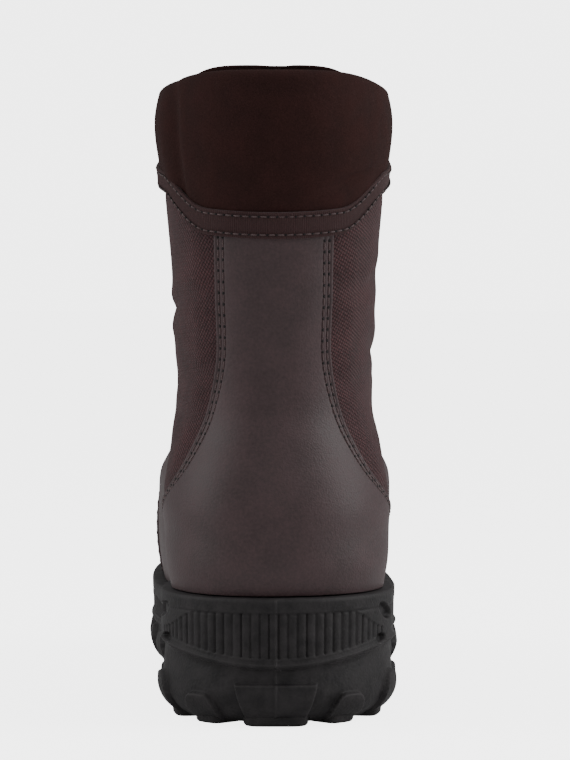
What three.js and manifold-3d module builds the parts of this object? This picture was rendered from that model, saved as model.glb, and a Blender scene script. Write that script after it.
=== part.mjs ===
// An insulated hunting boot for the right foot, as an assembly of its separate pieces.
// Millimetres, +Z up, toe toward +Y, lateral side toward +X.
//
// The upper is one smooth surface made of rings. Each ring runs from a point on the back
// profile round both sides to a point on the front profile. A place on the surface is
// (u, v): u counts rings from the feather line up, and v runs from 0 at the back centre to
// 1 at the front centre along the lateral side, and to -1 along the medial side. Every
// layer, from the leather outside to the lining inside, is that surface moved in or out.

import * as THREE from 'three';
import { mergeVertices } from 'three/addons/utils/BufferGeometryUtils.js';
import Module from 'manifold-3d';

const wasm = await Module();
wasm.setup();

// ---- Driving dimensions ----------------------------------------------------------------

const SOLE_LENGTH = 312;
const SHAFT_TOP = 256; // height of the collar's top edge at the back
const ANKLE = 122; // height of the narrowest ring at the back
const HEEL_SEAT = 51; // height of the feather line at the heel
const BALL_SEAT = 38; // height of the feather line under the ball
const TOE_SEAT = 44; // height of the feather line at the toe
const TOE_SPRING = 8; // how far the toe of the sole is lifted
const TOE_BOX = 93; // height of the toe box
const SHAFT_DEPTH = 120; // back to front at the top
const HEEL_WIDTH = 92;
const BALL_WIDTH = 103;
const ANKLE_WIDTH = 79;
const COLLAR_WIDTH = 90;

const GAP = 0.3; // clearance between pieces that touch
const PLY_GAP = 0.65; // clearance between curved layers
const SEAM_GAP = 0.8; // between two panels of one layer
const LEATHER = 1.4;
const NYLON = 1.3;
const STIFFENER = 1.2;
const INSULATION = 3;
const LINING = 1;
const TONGUE = 4.6;
const GUSSET = 1;
const BINDING = 1.2;
const BINDING_WIDTH = 9.5;
const BINDING_BACK = 195.5; // height of the binding's centre line at the back
const BINDING_RISE = 11; // how far that line climbs round the sides
const BACKSTAY_WIDTH = 47;
const OVERLAP = 7; // hidden margin of a panel under its neighbour
const FACING_GAP = 36; // between the two rows of eyelets' leather
const EYESTAY_WIDTH = 27;
const TOE_CAP_LENGTH = 70;

const BOARD = 2.2;
const FOOTBED = 5;
const SHANK_WIDTH = 14;
const SHANK_LENGTH = 96;
const SHANK_THICKNESS = 1.5;
const SOLE_LEDGE = 3.2; // how far the sole stands out past the upper
const SPLIT_HEEL = 27; // height of the joint of midsole and outsole at the heel
const SPLIT_TOE = 17;
const LUG_DEPTH = 7;
const LUG_COUNT = 11; // rim lugs on each side
const ARCH_RISE = 5; // how far the waist of the sole is lifted
const ARCH_BACK = 88; // where the heel's lugs end

const EYELET_PAIRS = 4;
const HOOK_PAIRS = 3;
const EYELET_BORE = 2.5; // radius
const EYELET_FLANGE = 4.6; // radius
const HOOK_WIDTH = 7;

// ---- Small helpers ---------------------------------------------------------------------

const mix = (a, b, t) => a + (b - a) * t;
const clamp = (x, low, high) => Math.min(high, Math.max(low, x));
const smooth = (low, high, x) => {
  const t = clamp((x - low) / (high - low), 0, 1);
  return t * t * (3 - 2 * t);
};

// A smooth curve through evenly spaced values, read at the real number u.
function along(values, u) {
  const last = values.length - 1;
  const k = clamp(Math.floor(u), 0, last - 1);
  const t = u - k;
  const [a, b] = [values[k], values[k + 1]];
  const before = k > 0 ? values[k - 1] : 2 * a - b;
  const after = k + 2 <= last ? values[k + 2] : 2 * b - a;
  const [m0, m1] = [(b - before) / 2, (after - a) / 2];
  return (
    a * (2 * t ** 3 - 3 * t * t + 1) + m0 * (t ** 3 - 2 * t * t + t)
    + b * (3 * t * t - 2 * t ** 3) + m1 * (t ** 3 - t * t)
  );
}

// ---- The surface of the upper ----------------------------------------------------------

const shaftHeight = (share) => mix(ANKLE, SHAFT_TOP, share);
const footHeight = (share) => mix(HEEL_SEAT, ANKLE, share);
const boxHeight = (share) => mix(TOE_SEAT, TOE_BOX, share);
const FRONT_TOP = SHAFT_DEPTH + 3; // y of the front profile at the top
const instepAt = (share) => mix(FRONT_TOP, SOLE_LENGTH, share); // from the shaft's front to the toe

// One row for each ring: back y and z, front y and z, half widths at heel, waist and ball,
// and the shares of the ring's length that its round back and front ends take.
const H = HEEL_WIDTH / 2;
const B = BALL_WIDTH / 2;
const A = ANKLE_WIDTH / 2;
const C = COLLAR_WIDTH / 2;
const RINGS = [
  [SOLE_LEDGE + 1, HEEL_SEAT, SOLE_LENGTH - SOLE_LEDGE - 1, TOE_SEAT, H - 3.4, H - 8, B - 3, 0.17, 0.27],
  [1.6, footHeight(0.155), SOLE_LENGTH - 2, boxHeight(0.33), H - 1.2, H - 6, B - 0.5, 0.18, 0.28],
  [1, footHeight(0.31), SOLE_LENGTH - 9, boxHeight(0.7), H - 0.4, H - 4.5, B, 0.2, 0.3],
  [1.5, footHeight(0.465), instepAt(0.81), TOE_BOX, H + 0.4, H - 3.5, B - 1, 0.22, 0.34],
  [4, footHeight(0.62), instepAt(0.619), TOE_BOX + 10, H - 0.4, H - 3.5, B - 6, 0.26, 0.4],
  [8, footHeight(0.79), instepAt(0.4286), TOE_BOX + 23, A + 3.5, A + 2.5, A + 2.5, 0.32, 0.45],
  [11.5, ANKLE, instepAt(0.27), shaftHeight(0.115), A, A, A + 1.5, 0.42, 0.5],
  [12, shaftHeight(0.146), instepAt(0.164), shaftHeight(0.315), A + 1.5, A + 1.5, A + 1.5, 0.5, 0.5],
  [9.5, shaftHeight(0.33), FRONT_TOP + 18, shaftHeight(0.523), A + 2.5, A + 2.5, A + 2.5, 0.5, 0.5],
  [6.5, shaftHeight(0.523), FRONT_TOP + 10, shaftHeight(0.708), C - 1, C - 1, C - 1, 0.5, 0.5],
  [3.5, shaftHeight(0.7), FRONT_TOP + 5, shaftHeight(0.846), C + 0.4, C + 0.4, C + 0.4, 0.5, 0.5],
  [2, shaftHeight(0.854), FRONT_TOP + 2, shaftHeight(0.946), C + 0.8, C + 0.8, C + 0.8, 0.5, 0.5],
  [3, SHAFT_TOP, FRONT_TOP, SHAFT_TOP + 2, C - 0.6, C - 0.6, C - 0.6, 0.5, 0.5],
];
const COLUMNS = RINGS[0].map((_, column) => RINGS.map((row) => row[column]));
const TOP = RINGS.length - 1;
const THROAT = 6; // the ring where the vamp ends and the facings open

const CAP_POWER = 2.2; // squareness of a ring's round ends
const TOE_INWARD = 9; // how far the toe turns toward the medial side
const TOP_DIP = 6; // how far the collar's sides lie below its back and front

// Height of the seat of the foot over the length of the sole.
function seatHeight(y) {
  const heelToBall = smooth(0.24 * SOLE_LENGTH, 0.62 * SOLE_LENGTH, y);
  const toeRise = smooth(0.66 * SOLE_LENGTH, SOLE_LENGTH, y);
  return mix(HEEL_SEAT, BALL_SEAT, heelToBall) + (TOE_SEAT - BALL_SEAT) * toeRise;
}

const roundEnd = (x) => (1 - (1 - Math.min(x, 1)) ** CAP_POWER) ** (1 / CAP_POWER);

// A point of ring u, at the share t of its length from back to front.
function ringPoint(u, t, side) {
  const [backY, backZ, frontY, frontZ, heel, waist, ball, backEnd, frontEnd] = COLUMNS.map(
    (column) => along(column, u),
  );
  const width = mix(mix(heel, waist, smooth(0.12, 0.4, t)), ball, smooth(0.38, 0.7, t));
  const ends = roundEnd(t / backEnd) * roundEnd((1 - t) / frontEnd);
  const low = 1 - smooth(0, 4.5, u);
  const y = mix(backY, frontY, t);
  const chordZ = mix(backZ, frontZ, t);
  const sag = (seatHeight(y) - mix(HEEL_SEAT, TOE_SEAT, t)) * low;
  const dip = TOP_DIP * smooth(8, TOP, u) * (4 * t * (1 - t)) ** 2;
  const turn = (3 * Math.sin(Math.PI * t) - TOE_INWARD * t ** 3) * (1 - smooth(0, 6.5, u));
  return new THREE.Vector3(side * width * ends + turn, y, chordZ + sag - dip);
}

// One side of a ring as points, with the distance from the back centre to each.
const RING_STEPS = 90;
const ringCache = new Map();
function ringLine(u, side) {
  const key = `${u.toFixed(5)} ${side}`;
  if (!ringCache.has(key)) {
    const points = [];
    const distances = [0];
    for (let i = 0; i <= RING_STEPS; i++) {
      points.push(ringPoint(u, (1 - Math.cos((Math.PI * i) / RING_STEPS)) / 2, side));
      if (i > 0) distances.push(distances[i - 1] + points[i].distanceTo(points[i - 1]));
    }
    ringCache.set(key, { points, distances });
  }
  return ringCache.get(key);
}

// Length of one side of ring u, and the v that lies a distance from the back or the front.
const girth = (u) => ringLine(u, 1).distances[RING_STEPS];
const fromBack = (distance, u) => distance / girth(u);
const fromFront = (distance, u) => 1 - distance / girth(u);

function surfacePoint(u, v) {
  const wrapped = v - 2 * Math.round(v / 2);
  const { points, distances } = ringLine(u, wrapped < 0 ? -1 : 1);
  const wanted = Math.abs(wrapped) * distances[RING_STEPS];
  let i = distances.findIndex((d) => d >= wanted - 1e-9);
  i = clamp(i, 1, RING_STEPS);
  const t = (wanted - distances[i - 1]) / (distances[i] - distances[i - 1]);
  return points[i - 1].clone().lerp(points[i], t);
}

function surfaceNormal(u, v) {
  const step = 0.02;
  const [low, high] = [Math.max(0, u - step), Math.min(TOP, u + step)];
  const up = surfacePoint(high, v).sub(surfacePoint(low, v));
  const round = surfacePoint(u, v + step).sub(surfacePoint(u, v - step));
  return round.cross(up).normalize();
}

function layerPoint(u, v, offset) {
  return surfacePoint(u, v).addScaledVector(surfaceNormal(u, v), offset);
}

// ---- Closed bodies from grids ----------------------------------------------------------

function geometryFrom(points, triangles) {
  const loose = new THREE.BufferGeometry();
  loose.setAttribute('position', new THREE.Float32BufferAttribute(points.flatMap((p) => p.toArray()), 3));
  loose.setIndex(triangles.flat());
  const merged = mergeVertices(loose, 1e-3);
  const index = merged.getIndex().array;
  const kept = [];
  for (let i = 0; i < index.length; i += 3) {
    const [a, b, c] = [index[i], index[i + 1], index[i + 2]];
    if (a !== b && b !== c && c !== a) kept.push(a, b, c);
  }
  merged.setIndex(kept);
  return facingOut(merged);
}

// Turns every face round if the body's signed volume is negative.
function facingOut(geometry) {
  const index = geometry.getIndex().array;
  const corner = (i) => new THREE.Vector3().fromBufferAttribute(geometry.attributes.position, index[i]);
  let volume = 0;
  for (let i = 0; i < index.length; i += 3) {
    volume += corner(i).dot(corner(i + 1).cross(corner(i + 2)));
  }
  if (volume < 0) {
    for (let i = 0; i < index.length; i += 3) [index[i], index[i + 1]] = [index[i + 1], index[i]];
  }
  geometry.computeVertexNormals();
  return geometry;
}

// A curved plate: place(a, b) gives (u, v), and the plate fills the space between two offsets.
function plate(place, outer, inner, rows, columns) {
  const points = [];
  const at = (i, j, layer) => (layer * (rows + 1) + i) * (columns + 1) + j;
  for (const offset of [outer, inner]) {
    for (let i = 0; i <= rows; i++) {
      for (let j = 0; j <= columns; j++) {
        const [u, v] = place(i / rows, j / columns);
        points.push(layerPoint(u, v, typeof offset === 'function' ? offset(u, v) : offset));
      }
    }
  }
  const triangles = [];
  const quad = (p, q, r, s) => triangles.push([p, q, r], [p, r, s]);
  for (let i = 0; i < rows; i++) {
    for (let j = 0; j < columns; j++) {
      quad(at(i, j, 0), at(i, j + 1, 0), at(i + 1, j + 1, 0), at(i + 1, j, 0));
      quad(at(i, j, 1), at(i + 1, j, 1), at(i + 1, j + 1, 1), at(i, j + 1, 1));
    }
  }
  for (let i = 0; i < rows; i++) {
    quad(at(i, 0, 0), at(i + 1, 0, 0), at(i + 1, 0, 1), at(i, 0, 1));
    quad(at(i, columns, 0), at(i, columns, 1), at(i + 1, columns, 1), at(i + 1, columns, 0));
  }
  for (let j = 0; j < columns; j++) {
    quad(at(0, j, 0), at(0, j, 1), at(0, j + 1, 1), at(0, j + 1, 0));
    quad(at(rows, j, 0), at(rows, j + 1, 0), at(rows, j + 1, 1), at(rows, j, 1));
  }
  return geometryFrom(points, triangles);
}

// The edge of the foot's seat at v, moved outward in plan.
function outlinePoint(v, outward) {
  const p = surfacePoint(0, v);
  const step = 0.01;
  const round = surfacePoint(0, v + step).sub(surfacePoint(0, v - step)).setZ(0).normalize();
  return new THREE.Vector3(p.x + round.y * outward, p.y - round.x * outward, 0);
}

// A slab of the sole's outline: each level has a height over y and a distance outward.
const OUTLINE_STEPS = 30; // along each side
function soleSlab(levels) {
  const points = [];
  const count = 2 * OUTLINE_STEPS;
  for (const { outward, height } of levels) {
    for (let k = 0; k < count; k++) {
      const p = outlinePoint(k <= OUTLINE_STEPS ? k / OUTLINE_STEPS : k / OUTLINE_STEPS - 2, outward);
      points.push(p.setZ(height(p.y)));
    }
  }
  const triangles = [];
  for (let level = 0; level + 1 < levels.length; level++) {
    for (let k = 0; k < count; k++) {
      const [a, b] = [level * count + k, level * count + ((k + 1) % count)];
      triangles.push([a, b, b + count], [a, b + count, a + count]);
    }
  }
  const across = (base, flip) => {
    for (let k = 0; k < OUTLINE_STEPS; k++) {
      const corners = [k, k + 1, (count - k - 1) % count, (count - k) % count].map((n) => base + n);
      const [p, q, r, s] = flip ? corners.reverse() : corners;
      if (p !== q) triangles.push([p, q, r]);
      triangles.push([p, r, s]);
    }
  };
  across(0, true);
  across((levels.length - 1) * count, false);
  return geometryFrom(points, triangles.filter(([a, b, c]) => a !== b && b !== c && c !== a));
}

// ---- Joining and cutting ---------------------------------------------------------------

function solidOf(geometry) {
  const bare = geometry.clone();
  bare.deleteAttribute('normal');
  bare.deleteAttribute('uv');
  const merged = mergeVertices(bare, 1e-4);
  const vertProperties = new Float32Array(merged.attributes.position.array);
  const triVerts = new Uint32Array(merged.getIndex().array);
  return new wasm.Manifold(new wasm.Mesh({ numProp: 3, vertProperties, triVerts }));
}

function geometryOf(solid) {
  const mesh = solid.getMesh();
  const geometry = new THREE.BufferGeometry();
  geometry.setAttribute('position', new THREE.BufferAttribute(mesh.vertProperties, 3));
  geometry.setIndex(Array.from(mesh.triVerts));
  geometry.computeVertexNormals();
  return geometry;
}

// ---- Layers and panel edges ------------------------------------------------------------

const BASE_OUT = -LEATHER - PLY_GAP; // the nylon and the vamp lie under the overlays
const BASE_IN = BASE_OUT - NYLON;
const STIFF_OUT = BASE_IN - PLY_GAP;
const STIFF_IN = STIFF_OUT - STIFFENER;
const WARM_IN = STIFF_OUT - INSULATION;
const LINING_OUT = WARM_IN - PLY_GAP;
const LINING_IN = LINING_OUT - LINING;
const GUSSET_OUT = LINING_IN - PLY_GAP;
const GUSSET_IN = GUSSET_OUT - GUSSET;
const TONGUE_OUT = GUSSET_IN - PLY_GAP - 0.15;
const TONGUE_IN = TONGUE_OUT - TONGUE;

// The ring whose back point has the given height.
function ringAtBack(height) {
  let [low, high] = [0, TOP];
  for (let i = 0; i < 40; i++) {
    const middle = (low + high) / 2;
    if (along(COLUMNS[1], middle) < height) low = middle;
    else high = middle;
  }
  return (low + high) / 2;
}

const RING_RISE = (SHAFT_TOP - ANKLE) / (TOP - THROAT); // mean height of one ring in the shaft
const BINDING_RING = ringAtBack(BINDING_BACK);
const GAP_RINGS = (GAP * 1.5) / RING_RISE;

// The binding's centre line: level across the backstay, then climbing round the sides.
function bindingLine(v) {
  const distance = Math.abs(v - 2 * Math.round(v / 2)) * girth(BINDING_RING);
  return BINDING_RING + (BINDING_RISE / RING_RISE) * smooth(BACKSTAY_WIDTH / 2, 72, distance);
}

// Half width of the heel counter and backstay, as a distance from the back centre.
const COUNTER_EDGE = [128, 118, 98, 71, 51, 38.5, 29.5, BACKSTAY_WIDTH / 2, BACKSTAY_WIDTH / 2];
const counterEdge = (u) => (u < 8 ? along(COUNTER_EDGE, u) : BACKSTAY_WIDTH / 2);

// Front edge of the quarter: the vamp's seam below the throat, the facing above it.
const VAMP_SEAM = [0.43, 0.45, 0.48, 0.53, 0.59, 0.66, 0.74];
function quarterEdge(u) {
  const seam = along(VAMP_SEAM, Math.min(u, THROAT));
  return mix(seam, fromFront(FACING_GAP / 2, u), smooth(THROAT + 0.1, THROAT + 1.8, u));
}

const sideways = (side, v) => (side > 0 ? v : -v);

// ---- The upper's pieces ----------------------------------------------------------------

const SHELL_START = 0.03; // rings between the sole and the upper's edge
const LINING_START = 0.32;

function heelCounter() {
  const place = (a, b) => {
    const level = mix(SHELL_START, BINDING_RING, a);
    const v = (2 * b - 1) * fromBack(counterEdge(level), level);
    return [a === 1 ? bindingLine(v) - GAP_RINGS : Math.min(level, bindingLine(v) - GAP_RINGS), v];
  };
  return plate(place, 0.15, 0.15 - LEATHER, 15, 22);
}

const STEADY = 0.75; // share of a quarter's columns that keep away from its moving front edge
function quarter(side) {
  const place = (a, b) => {
    const reach = (u) => {
      const rear = fromBack(counterEdge(u) - OVERLAP, u);
      const steady = along(VAMP_SEAM, Math.min(u, THROAT)) - 0.06;
      return b < STEADY ? mix(rear, steady, b / STEADY) : mix(steady, quarterEdge(u), (b - STEADY) / (1 - STEADY));
    };
    const u = mix(SHELL_START, bindingLine(reach(BINDING_RING)) - GAP_RINGS, a);
    return [u, sideways(side, reach(u))];
  };
  return plate(place, BASE_OUT, BASE_IN, 17, 12);
}

function vamp() {
  const place = (a, b) => {
    const u = mix(SHELL_START, THROAT - 0.15, a);
    const edge = quarterEdge(u) + SEAM_GAP / girth(u);
    return [u, mix(edge, 2 - edge, b)];
  };
  return plate(place, BASE_OUT, BASE_IN, 14, 30);
}

// The v at which ring u crosses the plane y, searched along the lateral side.
function crossing(u, y) {
  let [low, high] = [0, 1];
  for (let i = 0; i < 30; i++) {
    const middle = (low + high) / 2;
    if (surfacePoint(u, middle).y < y) low = middle;
    else high = middle;
  }
  return (low + high) / 2;
}

function toeCap() {
  const rear = SOLE_LENGTH - TOE_CAP_LENGTH;
  const top = RINGS.findIndex((row) => row[2] < rear) - 0.1;
  const place = (a, b) => {
    const u = mix(SHELL_START, top, a);
    const edge = Math.min(crossing(u, rear), 0.982);
    return [u, mix(edge, 2 - edge, b)];
  };
  return plate(place, 0.2, 0.2 - LEATHER, 10, 20);
}

function eyestay(side) {
  const bottom = THROAT - 1;
  const place = (a, b) => {
    const top = bindingLine(0.8) - GAP_RINGS;
    const u = mix(bottom, top, a);
    const front = mix(fromFront(FACING_GAP / 2 + 4, bottom), fromFront(FACING_GAP / 2, u), smooth(0, 0.25, a));
    return [u, sideways(side, mix(front - EYESTAY_WIDTH / girth(u), front, b))];
  };
  return plate(place, 0, -LEATHER, 12, 3);
}

// Where eyelet or hook number k of all the pairs sits on the eyestay.
const PAIRS = EYELET_PAIRS + HOOK_PAIRS;
function stationOf(k, side) {
  const u = mix(THROAT - 0.6, bindingLine(0.8) - 0.45, k / (PAIRS - 1));
  return [u, sideways(side, fromFront(FACING_GAP / 2 + 9, u))];
}

// A frame on the surface: X round the boot, Y up along it, Z outward.
function frameAt(u, v, offset) {
  const normal = surfaceNormal(u, v);
  const up = surfacePoint(u + 0.05, v).sub(surfacePoint(u - 0.05, v));
  up.addScaledVector(normal, -up.dot(normal)).normalize();
  const across = new THREE.Vector3().crossVectors(up, normal);
  return new THREE.Matrix4().makeBasis(across, up, normal).setPosition(layerPoint(u, v, offset));
}

const HOLE_CLEARANCE = 0.5;
function piercedEyestay(side) {
  let solid = solidOf(eyestay(side));
  for (let k = 0; k < EYELET_PAIRS; k++) {
    const radius = EYELET_BORE + 0.6 + HOLE_CLEARANCE;
    const hole = new THREE.CylinderGeometry(radius, radius, 6, 12).rotateX(Math.PI / 2);
    solid = solid.subtract(solidOf(hole.applyMatrix4(frameAt(...stationOf(k, side), 0))));
  }
  return geometryOf(solid);
}

function eyelet(k, side) {
  const wall = EYELET_BORE + 0.6;
  const profile = [
    [EYELET_BORE, -LEATHER + 0.2], [wall, -LEATHER + 0.2], [wall, 0.45], [EYELET_FLANGE, 0.45],
    [EYELET_FLANGE - 0.5, 1.2], [wall, 1.6], [EYELET_BORE, 1.2], [EYELET_BORE, -LEATHER + 0.2],
  ].map(([r, z]) => new THREE.Vector2(r, z));
  const ring = new THREE.LatheGeometry(profile, 10).rotateX(Math.PI / 2);
  return geometryOf(solidOf(facingOut(mergedOnly(ring.applyMatrix4(frameAt(...stationOf(k, side), 0.1))))));
}

function mergedOnly(geometry) {
  const bare = geometry.clone();
  bare.deleteAttribute('normal');
  bare.deleteAttribute('uv');
  return mergeVertices(bare, 1e-4);
}

// An open hook bent from one strip: a foot on the leather and a tongue that turns over it.
function hook(k, side) {
  const shape = new THREE.Shape();
  shape.moveTo(-5, 0);
  shape.lineTo(6, 0);
  shape.absarc(6, 3, 3, -Math.PI / 2, Math.PI / 2, false);
  shape.lineTo(0, 6);
  shape.lineTo(0, 5);
  shape.lineTo(6, 5);
  shape.absarc(6, 3, 2, Math.PI / 2, -Math.PI / 2, true);
  shape.lineTo(-5, 1);
  const bent = new THREE.ExtrudeGeometry(shape, { depth: HOOK_WIDTH, bevelEnabled: false, curveSegments: 5 });
  bent.translate(0, 0, -HOOK_WIDTH / 2).rotateX(Math.PI / 2);
  if (side < 0) bent.rotateZ(Math.PI); // the mouth opens away from the facing gap
  return facingOut(mergedOnly(bent.applyMatrix4(frameAt(...stationOf(k, side), 0.75))));
}

function heelStiffener() {
  const place = (a, b) => {
    const u = mix(LINING_START, 4.2, a);
    return [u, (2 * b - 1) * fromBack(mix(82, 44, a * a), u)];
  };
  return plate(place, STIFF_OUT, STIFF_IN, 5, 16);
}

function toePuff() {
  const place = (a, b) => {
    const u = mix(LINING_START, 2.6, a);
    const edge = crossing(u, SOLE_LENGTH - TOE_CAP_LENGTH + 6);
    return [u, mix(edge, 2 - edge, b)];
  };
  return plate(place, STIFF_OUT, STIFF_IN, 8, 16);
}

// Half of the inner layers' reach: all round below the throat, open in front above it.
function innerEdge(u) {
  const seam = 1 - 0.4 / girth(u);
  return mix(seam, fromFront(FACING_GAP / 2 + 3, u), smooth(THROAT - 0.1, THROAT + 1.8, u));
}

const FIXED = 0.79; // columns up to this v don't shift where the front opens
function innerLayer(outer, inner) {
  const place = (a, b) => {
    const top = (v) => bindingLine(v) - GAP_RINGS;
    const s = Math.abs(2 * b - 1);
    const reach = (u) => Math.sign(2 * b - 1) * (s < FIXED ? s : mix(FIXED, innerEdge(u), (s - FIXED) / (1 - FIXED)));
    const u = mix(LINING_START, top(reach(BINDING_RING)), a);
    return [u, reach(u)];
  };
  return plate(place, outer, inner, 15, 26);
}

// Under the foot's leather the insulation makes room for the stiffener and the toe puff.
const insulationOuter = (u) => mix(STIFF_IN - PLY_GAP, STIFF_OUT - 0.55, smooth(4.5, 5.5, u));

// A fat band with a rolled top edge that stands a little proud of the shaft.
const COLLAR_SWELL = 1.4;
function collar() {
  const swell = (u, v) => {
    const share = (u - bindingLine(v)) / (TOP - bindingLine(v));
    return COLLAR_SWELL * Math.sin(Math.PI * clamp(share, 0, 1)) - 1.6 * smooth(0.86, 1, share);
  };
  const inner = (u, v) => LINING_IN + 2 * smooth(0.86, 1, (u - bindingLine(v)) / (TOP - bindingLine(v)));
  const place = (a, b) => {
    const v = (2 * b - 1) * fromFront(FACING_GAP / 2, TOP - 1);
    return [mix(bindingLine(v), TOP, a), v];
  };
  return plate(place, swell, inner, 6, 26);
}

function collarBinding() {
  const half = BINDING_WIDTH / 2 / RING_RISE;
  const place = (a, b) => {
    const v = (2 * b - 1) * fromFront(FACING_GAP / 2 + 1, TOP - 1);
    return [bindingLine(v) + mix(-half, half, a), v];
  };
  const over = (u, v) => GAP + 0.2 + COLLAR_SWELL * smooth(0, 1.2, u - bindingLine(v));
  return plate(place, (u, v) => over(u, v) + BINDING, over, 2, 34);
}

const TONGUE_WIDTH = 84;
const TONGUE_BOTTOM = THROAT - 0.7;
const TONGUE_TOP = TOP + 0.1;
function tongue() {
  const place = (a, b) => {
    const u = mix(TONGUE_BOTTOM, TONGUE_TOP, a);
    const narrow = mix(0.82, 1, smooth(0, 0.5, a)) * mix(1, 0.82, smooth(0.9, 1, a));
    const half = (TONGUE_WIDTH / 2) * narrow;
    return [Math.min(u, TOP), 1 + ((2 * b - 1) * half) / girth(Math.min(u, TOP))];
  };
  return plate(place, TONGUE_OUT, TONGUE_IN, 11, 10);
}

function gusset(side) {
  const place = (a, b) => {
    const u = mix(THROAT + 0.25, bindingLine(0.8) - 0.5, a);
    return [u, sideways(side, mix(fromFront(50, u), fromFront(FACING_GAP / 2 - 9, u), b))];
  };
  return plate(place, GUSSET_OUT, GUSSET_IN, 10, 5);
}

// ---- The sole's pieces -----------------------------------------------------------------

const springHeight = (y) => TOE_SPRING * smooth(0.72 * SOLE_LENGTH, SOLE_LENGTH, y) ** 1.2;
const splitHeight = (y) => mix(SPLIT_HEEL, SPLIT_TOE, smooth(0.3 * SOLE_LENGTH, 0.6 * SOLE_LENGTH, y)) + springHeight(y);
const slabBottom = (y) => {
  const heelRoot = LUG_DEPTH * (1 + 0.4 * (1 - smooth(60, 110, y)));
  const arch = ARCH_RISE * smooth(ARCH_BACK, ARCH_BACK + 14, y) * (1 - smooth(ARCH_BACK + 38, ARCH_BACK + 60, y));
  return heelRoot + springHeight(y) + arch;
};
const seatUnder = (drop) => (y) => seatHeight(y) - drop;
const splitOver = (rise) => (y) => splitHeight(y) + rise;

// A bar over the arch that follows the seat, grown by a clearance for its pocket.
const SHANK_BACK = 0.19 * SOLE_LENGTH;
const SHANK_DROP = GAP + 0.4; // below the seat, to the bar's upper face
const SHANK_TO_SIDE = 3;
function shankBar(grow) {
  const size = [SHANK_WIDTH, SHANK_LENGTH, SHANK_THICKNESS].map((length) => length + 2 * grow);
  const bar = new THREE.BoxGeometry(...size, 1, 12, 1);
  bar.translate(SHANK_TO_SIDE, SHANK_BACK + SHANK_LENGTH / 2, -SHANK_DROP - SHANK_THICKNESS / 2);
  const corners = bar.attributes.position;
  for (let i = 0; i < corners.count; i++) corners.setZ(i, corners.getZ(i) + seatHeight(corners.getY(i)));
  return facingOut(mergedOnly(bar));
}

function midsole() {
  const slab = soleSlab([
    { outward: SOLE_LEDGE - 1, height: splitOver(GAP) },
    { outward: SOLE_LEDGE + 0.6, height: splitOver(3) },
    { outward: SOLE_LEDGE + 1, height: splitOver(8) },
    { outward: SOLE_LEDGE, height: seatUnder(4) },
    { outward: SOLE_LEDGE - 1, height: seatUnder(GAP) },
  ]);
  const pocket = shankBar(GAP + 0.2);
  return geometryOf(solidOf(slab).subtract(solidOf(pocket)));
}

// A block that narrows downward, set on the sole's underside.
function lugBlock(x, y, angle, width, length, taper) {
  const top = slabBottom(y) + 3;
  const bottom = springHeight(y);
  const block = new THREE.BoxGeometry(width, length, top - bottom);
  const corners = block.attributes.position;
  for (let i = 0; i < corners.count; i++) {
    if (corners.getZ(i) < 0) corners.setXY(i, corners.getX(i) * taper, corners.getY(i) * taper);
  }
  return block.rotateZ(angle).translate(x, y, (top + bottom) / 2);
}

function outsole() {
  let solid = solidOf(soleSlab([
    { outward: SOLE_LEDGE - 2.5, height: slabBottom },
    { outward: SOLE_LEDGE, height: (y) => slabBottom(y) + 4 },
    { outward: SOLE_LEDGE, height: splitOver(-2) },
    { outward: SOLE_LEDGE - 1, height: splitOver(0) },
  ]));
  const blocks = [lugBlock(0, 10, 0, 30, 17, 0.82)];
  for (const side of [-1, 1]) {
    for (let k = 0; k < LUG_COUNT; k++) {
      const v = mix(0.085, 0.93, k / (LUG_COUNT - 1));
      const p = outlinePoint(side * v, -6);
      if (p.y > ARCH_BACK && p.y < ARCH_BACK + 40) continue;
      const ahead = outlinePoint(side * (v + 0.01), -6);
      const angle = Math.atan2(ahead.y - p.y, ahead.x - p.x);
      blocks.push(lugBlock(p.x, p.y, angle, 15, 15, 0.86));
    }
  }
  for (const share of [0.2, 0.6, 0.68, 0.76, 0.84]) {
    const centre = surfacePoint(0, 1).x * share ** 3;
    blocks.push(lugBlock(centre + 2, share * SOLE_LENGTH, 0, 34, 12, 0.86));
  }
  for (const block of blocks) solid = solid.add(solidOf(block));
  return geometryOf(solid);
}

function insoleBoard() {
  const edge = STIFF_OUT - 0.6;
  return soleSlab([
    { outward: edge, height: seatUnder(-GAP) },
    { outward: edge, height: seatUnder(-GAP - BOARD) },
  ]);
}

function footbed() {
  const edge = LINING_IN - 1.6;
  const under = GAP + BOARD + GAP;
  return soleSlab([
    { outward: edge - 1, height: seatUnder(-under) },
    { outward: edge, height: seatUnder(-under - 1.5) },
    { outward: edge, height: seatUnder(-under - FOOTBED) },
  ]);
}

// ---- Assembly --------------------------------------------------------------------------

const finish = (color, roughness, metalness = 0) => (
  new THREE.MeshStandardMaterial({ color, roughness, metalness, side: THREE.DoubleSide })
);
const RUBBER = finish(0x262425, 0.75);
const SMOOTH_LEATHER = finish(0x3b3031, 0.55);
const WOVEN_NYLON = finish(0x483538, 0.85);
const SOFT_CLOTH = finish(0x261817, 0.95);
const RIBBED_TAPE = finish(0x2d1f1f, 0.9);
const INNER_CLOTH = finish(0x3a2c2a, 0.95);
const BOARD_FIBRE = finish(0x8a7a66, 0.9);
const WADDING = finish(0xb9b4a8, 0.95);
const DARK_METAL = finish(0x3a3835, 0.4, 0.9);
const STEEL = finish(0x9a9a98, 0.35, 1);

const boot = new THREE.Group();
function add(name, geometry, material) {
  const mesh = new THREE.Mesh(geometry, material);
  mesh.name = name;
  boot.add(mesh);
}

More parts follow.
